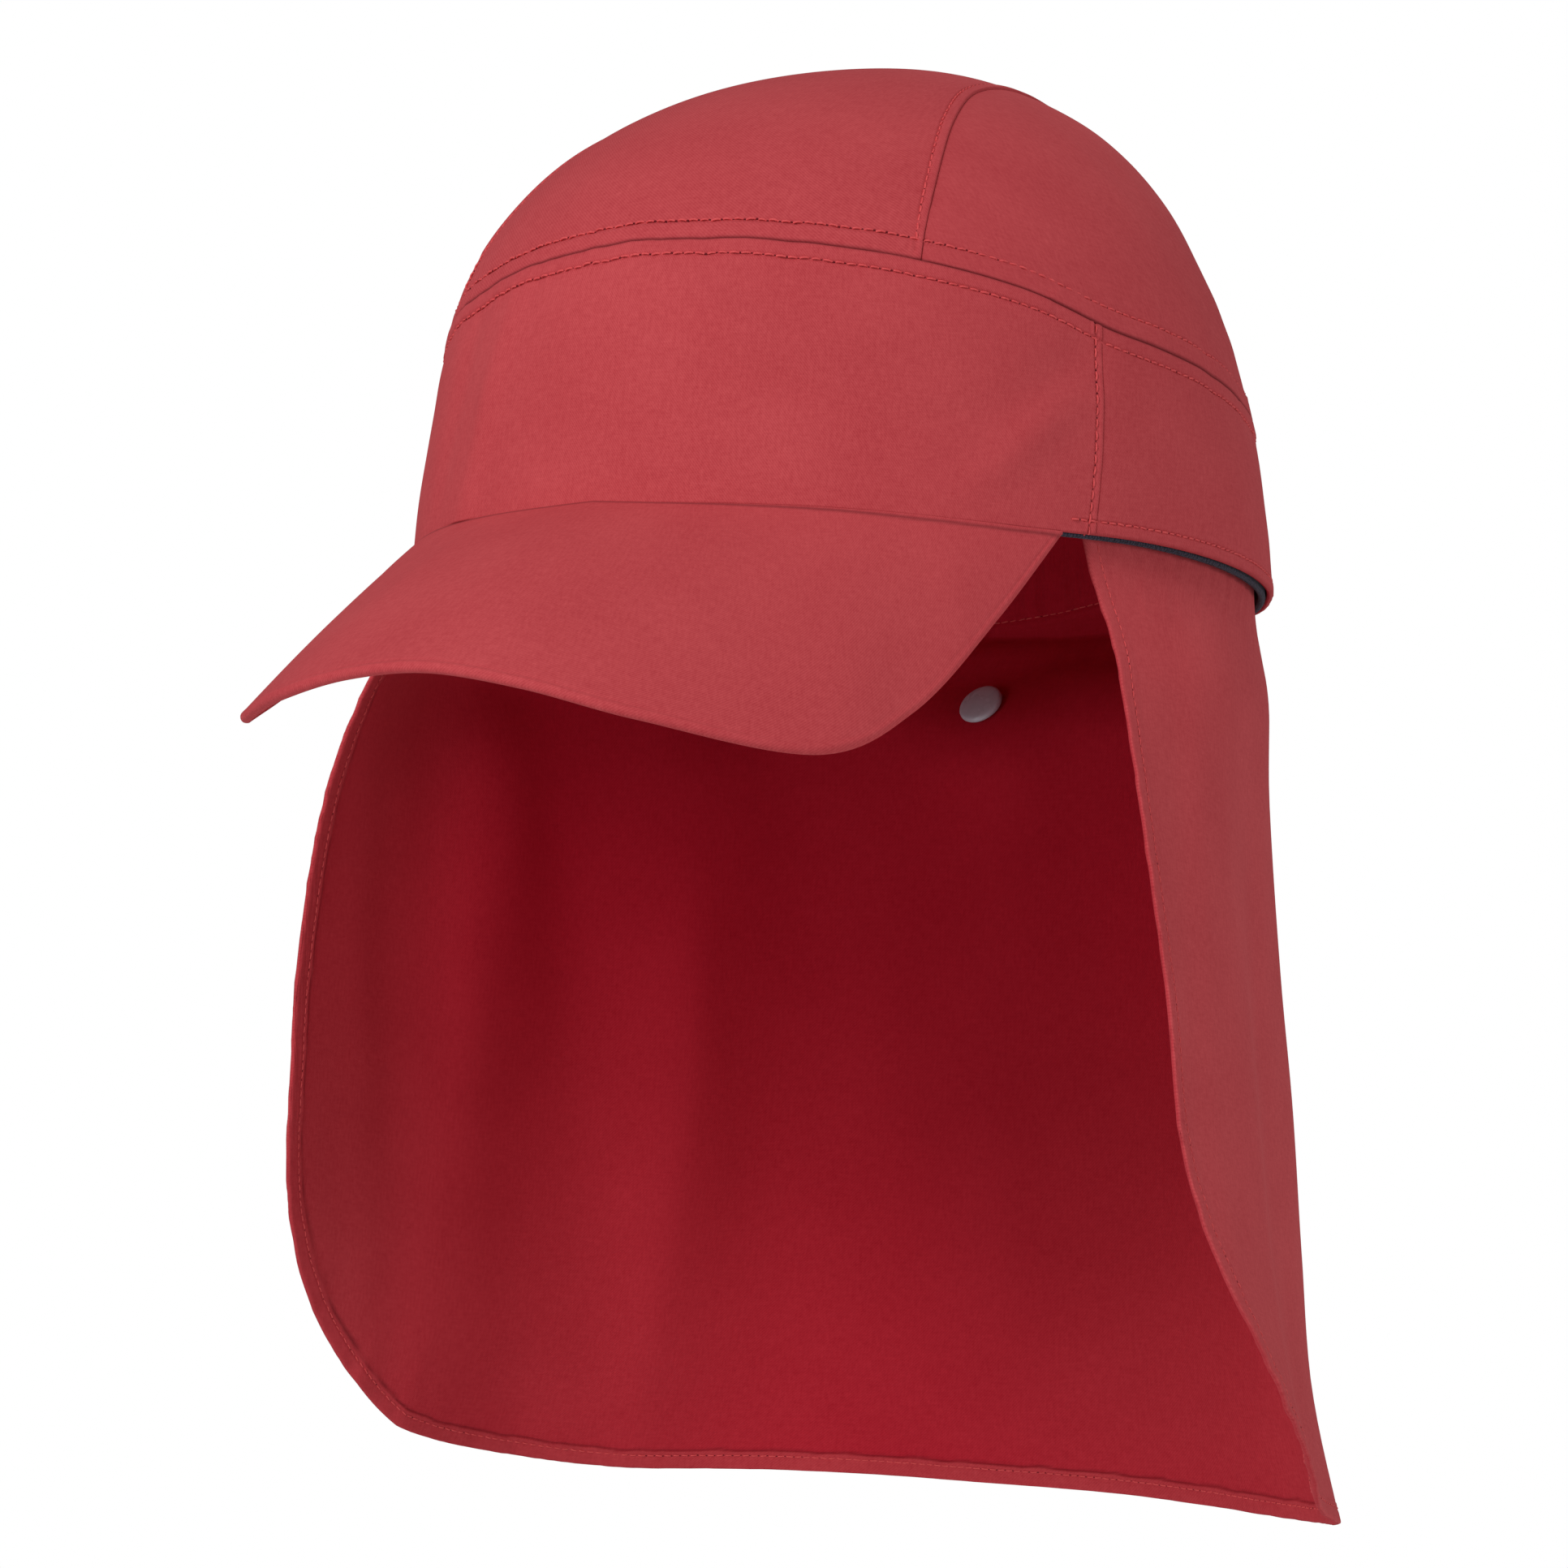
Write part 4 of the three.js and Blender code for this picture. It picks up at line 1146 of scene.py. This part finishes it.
def cape_faces(around, below):
    """Points of the cape's outer face and inner face, how far the inner face has the outer one's colour,
    where the hem is turned and as painted light lower down and near the front edges, and how far painted
    shade darkens it beside the hem."""
    surface = cape_surface(around, below)
    inward = cape_inward(around, below)
    distance, run = to_outline(surface)
    share = run / outline_run[-1]
    in_corner = bump_at(share, CORNER_PLACE, 0.07) + bump_at(share, 1 - CORNER_PLACE, 0.07)
    height = surface[..., 2]
    girth = around * HALF_GIRTH

    bow = cape_folds(around, height) + snap_slant(around, height) * smooth_step(below, 3, 11)
    gather_row = gather_below(around)
    gather = smooth_step(below, 18, -6) * (0.5 + 0.5 * wander(girth, 8, 12)) * smooth_step(below, -22, -12)
    bow = bow + gather * (0.5 + 1.3 * smooth_step(below, gather_row + 0.5, gather_row - 3))
    bow = bow + CAPE_WAVE * wander(girth + height * 0.2, 70, 14) * smooth_step(below, 6, 50)
    pucker = HEM_PUCKER * wander(run, 11, 15) * np.exp(-distance / 4)
    slanting = wander(run + distance * 0.6, 15, 17)
    pucker = pucker + CORNER_PUCKER * in_corner * slanting * np.exp(-distance / 8)
    bow = bow + pucker * smooth_step(below, 4, 16)

    hem_width = HEM_WIDTH + 0.22 * wander(run, 16, 16)
    in_hem = 1 - smooth_step(distance, hem_width - 0.12, hem_width + 0.12)
    furrow = HEM_FURROW * bump_at(distance, HEM_STITCH_ROW, 0.3)
    seat = 1 - smooth_step(below, gather_row + 1.5, gather_row + 1.9)
    inner_furrow = furrow + GATHER_FURROW * bump_at(below, gather_row, 0.4)
    fullness = round_off(np.minimum(distance, below + CAPE_TUCK), FOLD_RADIUS)
    outer_layers = CAPE_CLOTH / 2 + 0.12 * in_hem - furrow
    inner_layers = CAPE_CLOTH / 2 + HEM_STEP * in_hem + 0.3 * seat - inner_furrow
    outer = surface + inward * (bow + CAPE_WALL / 2 - fullness * outer_layers)[..., None]
    inner = surface + inward * (bow + CAPE_WALL / 2 + fullness * inner_layers)[..., None]

    # Painted light: the inner face is paler lower down and near the front edges, where light reaches into the
    # cape.
    low = smooth_step(height, -60, -190) * (1 - 0.6 * bump_at(around, -0.1, 0.25))
    front = smooth_step(np.abs(around), 0.55, 0.95)
    hem_and_painted_light = np.maximum(HEM_PALE * in_hem, PALEST * np.clip(0.6 * (low + front), 0, 1))
    # Painted shade along the edge of the turned layer.
    hem_painted_shade = HEM_SHADE * bump_at(distance, hem_width + 0.15, 0.25) * smooth_step(below, 2, 6)
    return outer, inner, hem_and_painted_light, hem_painted_shade


HEM_SPACING = np.array([  # distances of the mesh's last rows from its free edge
    0, 0.05, 0.15, 0.32, 0.6, 1.0, 1.6, 2.3, 2.8, 3.2, 3.6, 4.0, 4.2, 4.4, 4.7, 5.3, 6.3, 7.6,
])
TOP_ROWS = np.concatenate([  # places of its upper rows below the rim, close together at the gathers
    np.array([0, 0.08, 0.25, 0.6, 1.5]) - CAPE_TUCK,
    np.arange(3 - CAPE_TUCK, -11.5, 1.2),
    np.arange(-10.8, 0.2, 0.45),
    np.arange(0.8, 36, 1.6),
])
MIDDLE_ROWS = 34
STEEPEST = 5  # how far its last rows spread where they follow the hem up a corner


def cape():
    around_at = spread(2 * HALF_GIRTH, 1.5, HEM_SPACING) / HALF_GIRTH - 1
    middle = np.linspace(0, 1, MIDDLE_ROWS)[1:-1]
    around = around_at[:, None]
    hem = hem_below(around)
    steepness = np.gradient(hem[:, 0], around_at * HALF_GIRTH)[:, None]
    hem_rows = HEM_SPACING[::-1] * np.minimum(np.sqrt(1 + steepness**2), STEEPEST)
    upper = np.broadcast_to(TOP_ROWS, (len(around_at), len(TOP_ROWS)))
    lower = hem - hem_rows
    between = upper[:, -1:] + (lower[:, :1] - upper[:, -1:]) * middle
    below = np.concatenate([upper, between, lower], axis=1)
    around = np.broadcast_to(around, below.shape)
    outer, inner, hem_and_painted_light, hem_painted_shade = cape_faces(around, below)
    flat = np.stack([around * HALF_GIRTH, below], -1)
    shades = np.stack([np.zeros_like(hem_painted_shade), hem_painted_shade])
    finishes = (coral_twill, shaded_inside_twill)
    return shell("neck_cape_cloth", outer, inner, flat, finishes, turned_and_painted_light=hem_and_painted_light, painted_shade=shades)


neck_cape_cloth = cape()
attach(neck_cape_cloth, "root")
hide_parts("neck_cape")

FINE_PITCH = 2.0
FINE_LENGTH = 1.4
FINE_THREAD = 0.3
FINE_STANDS = 0.08
OUTLINE_PASSES = 4


def dot(first, second):
    return np.einsum("ij,ij->i", first, second)


def inside_outline(distance, start, end):
    """Places on the cape at a distance inside its free edge, for a share of that edge."""
    keep = slice(int(start * len(outline_around)), int(end * len(outline_around)))
    around, below = outline_around[keep].copy(), outline_below[keep].copy()
    edge = cape_surface(around, below)
    along = unit(np.gradient(outline, axis=0)[keep])
    across = np.cross(along, cape_inward(around, below))
    target = edge + across * distance
    toward_middle = cape_surface(around * 0.9, below - 6) - edge
    wrong = (dot(across, toward_middle) < 0)[:, None]
    target = np.where(wrong, edge - across * distance, target)
    for _ in range(OUTLINE_PASSES):
        by_around, by_below = cape_slopes(around, below)
        miss = target - cape_surface(around, below)
        aa, ab, bb = dot(by_around, by_around), dot(by_around, by_below), dot(by_below, by_below)
        am, bm = dot(by_around, miss), dot(by_below, miss)
        span = aa * bb - ab**2
        around = np.clip(around + (am * bb - bm * ab) / span, -1, 1)
        below = below + (bm * aa - am * ab) / span
    return around, below


def cape_row(around, below, side):
    return laid_on(cape_faces(around, below), -cape_inward(around, below), side, FINE_STANDS)


hem_around, hem_under = inside_outline(HEM_STITCH_ROW, 0.016, 0.984)
gather_around = np.linspace(-0.97, 0.97, 400)
gather_under = gather_below(gather_around)
cape_stitches = stitched("cape_stitches", [
    cape_row(hem_around, hem_under, "outer"),
    cape_row(hem_around, hem_under, "inner"),
    cape_row(gather_around, gather_under, "inner"),
], {"Pitch": FINE_PITCH * MM, "Stitch Length": FINE_LENGTH * MM, "Thread": FINE_THREAD * MM})
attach(cape_stitches, "root")


# Snap button
# A light grey plastic snap, pressed through the cape at the back. Its smooth round cap, moulded in one
# piece, lies against the inside.
SNAP_RADIUS = 5.3
SNAP_THICKNESS = 2.2
SNAP_PROFILE = [  # share of the radius, share of the thickness
    (0.0, 0.0), (0.6, 0.0), (0.9, 0.02), (0.965, 0.08), (0.995, 0.2), (1.0, 0.34), (0.992, 0.46),
    (0.965, 0.57), (0.92, 0.665), (0.86, 0.735), (0.78, 0.79), (0.66, 0.85), (0.5, 0.91), (0.3, 0.96),
    (0.12, 0.985), (0.0, 0.99),
]


def snap():
    """The profile turned round the cape's inward direction, worked out from three places on its cloth."""
    around = SNAP_AROUND + np.array([0, 2, 0]) / HALF_GIRTH
    below = cape_rim(around) - SNAP_HEIGHT + np.array([0, 0, 2])
    inner = cape_faces(around, below)[1]
    facing = unit(np.cross(inner[2] - inner[0], inner[1] - inner[0]))
    seat = inner[0] + facing * PANEL_GAP
    turn = Vector(facing).to_track_quat("Z", "Y").to_matrix()
    build = bmesh.new()
    verts = [build.verts.new((r * SNAP_RADIUS * MM, 0, z * SNAP_THICKNESS * MM)) for r, z in SNAP_PROFILE]
    edges = [build.edges.new(pair) for pair in zip(verts, verts[1:])]
    bmesh.ops.spin(build, geom=verts + edges, axis=(0, 0, 1), cent=(0, 0, 0), steps=72, angle=2 * math.pi)
    bmesh.ops.remove_doubles(build, verts=build.verts, dist=1e-6)
    bmesh.ops.recalc_face_normals(build, faces=build.faces)
    mesh = bpy.data.meshes.new("snap_cap")
    build.to_mesh(mesh)
    build.free()
    mesh.transform(Matrix.Translation(Vector(seat) * MM) @ turn.to_4x4())
    mesh.shade_smooth()
    return add_object("snap_cap", mesh)


GLOSS = {"IOR": 1.5, "Coat Weight": 0.3, "Coat Roughness": 0.12}
SNAP_SHADES = (colour(170, 171, 182), colour(192, 193, 204))
grey_plastic = mottled("grey_plastic", GLOSS, SNAP_SHADES, (0.22, 0.32), 260.0)

snap_cap = snap()
snap_cap.data.materials.append(grey_plastic)
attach(snap_cap, "root")
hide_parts("snap_button")


# Studio
# A plain pale floor below the cap, a white surround, and soft lights: a large one in front and above, two
# low ones to the left and right of the view, and one behind on the wearer's left.
FLOOR_HEIGHT = -330
FLOOR_RADIUS = 0.65
FLOOR_SHADES = ((0.90, 0.90, 0.90, 1), (0.92, 0.92, 0.92, 1))
pale_floor = mottled("pale_floor", {"Specular IOR Level": 0.1}, FLOOR_SHADES, (0.9, 0.95), 3.0)
build = bmesh.new()
bmesh.ops.create_circle(build, cap_ends=True, segments=128, radius=FLOOR_RADIUS)
floor_mesh = bpy.data.meshes.new("floor")
build.to_mesh(floor_mesh)
build.free()
floor_mesh.transform(Matrix.Translation((0, 0, FLOOR_HEIGHT * MM)))
floor_mesh.materials.append(pale_floor)
floor = add_object("floor", floor_mesh)

WORLD_LIGHT = 0.28  # strength of the surround's light on the cap, where it looks white itself
world = bpy.data.worlds.new("surround")
world.use_nodes = True
bpy.context.scene.world = world
surround = Graph(world.node_tree)
seen = surround.node("ShaderNodeLightPath", None, None, 0)
strength = seen * (1 - WORLD_LIGHT) + WORLD_LIGHT
world.node_tree.links.new(strength.socket, world.node_tree.nodes["Background"].inputs["Strength"])
world.node_tree.nodes["Background"].inputs["Color"].default_value = (1, 1, 1, 1)

LIGHT_AIM = (0, 0, -0.03)
LIGHTS = [  # name, place in metres, size, power
    ("front_light", (-0.1, -1.6, 1.1), 1.0, 19.5),
    ("low_left_light", (-0.65, -1.7, -0.05), 0.6, 3.3),
    ("low_right_light", (1.5, -1.1, -0.1), 0.6, 2.6),
    ("rear_side_light", (1.6, 0.7, 0.1), 0.9, 5.2),
]
for name, place, size, power in LIGHTS:
    data = bpy.data.lights.new(name, "AREA")
    data.shape = "DISK"
    data.size = size
    data.energy = power
    light = add_object(name, data)
    light.location = place
    light.rotation_euler = (Vector(LIGHT_AIM) - Vector(place)).to_track_quat("-Z", "Y").to_euler()

bpy.context.scene.view_settings.view_transform = "Standard"
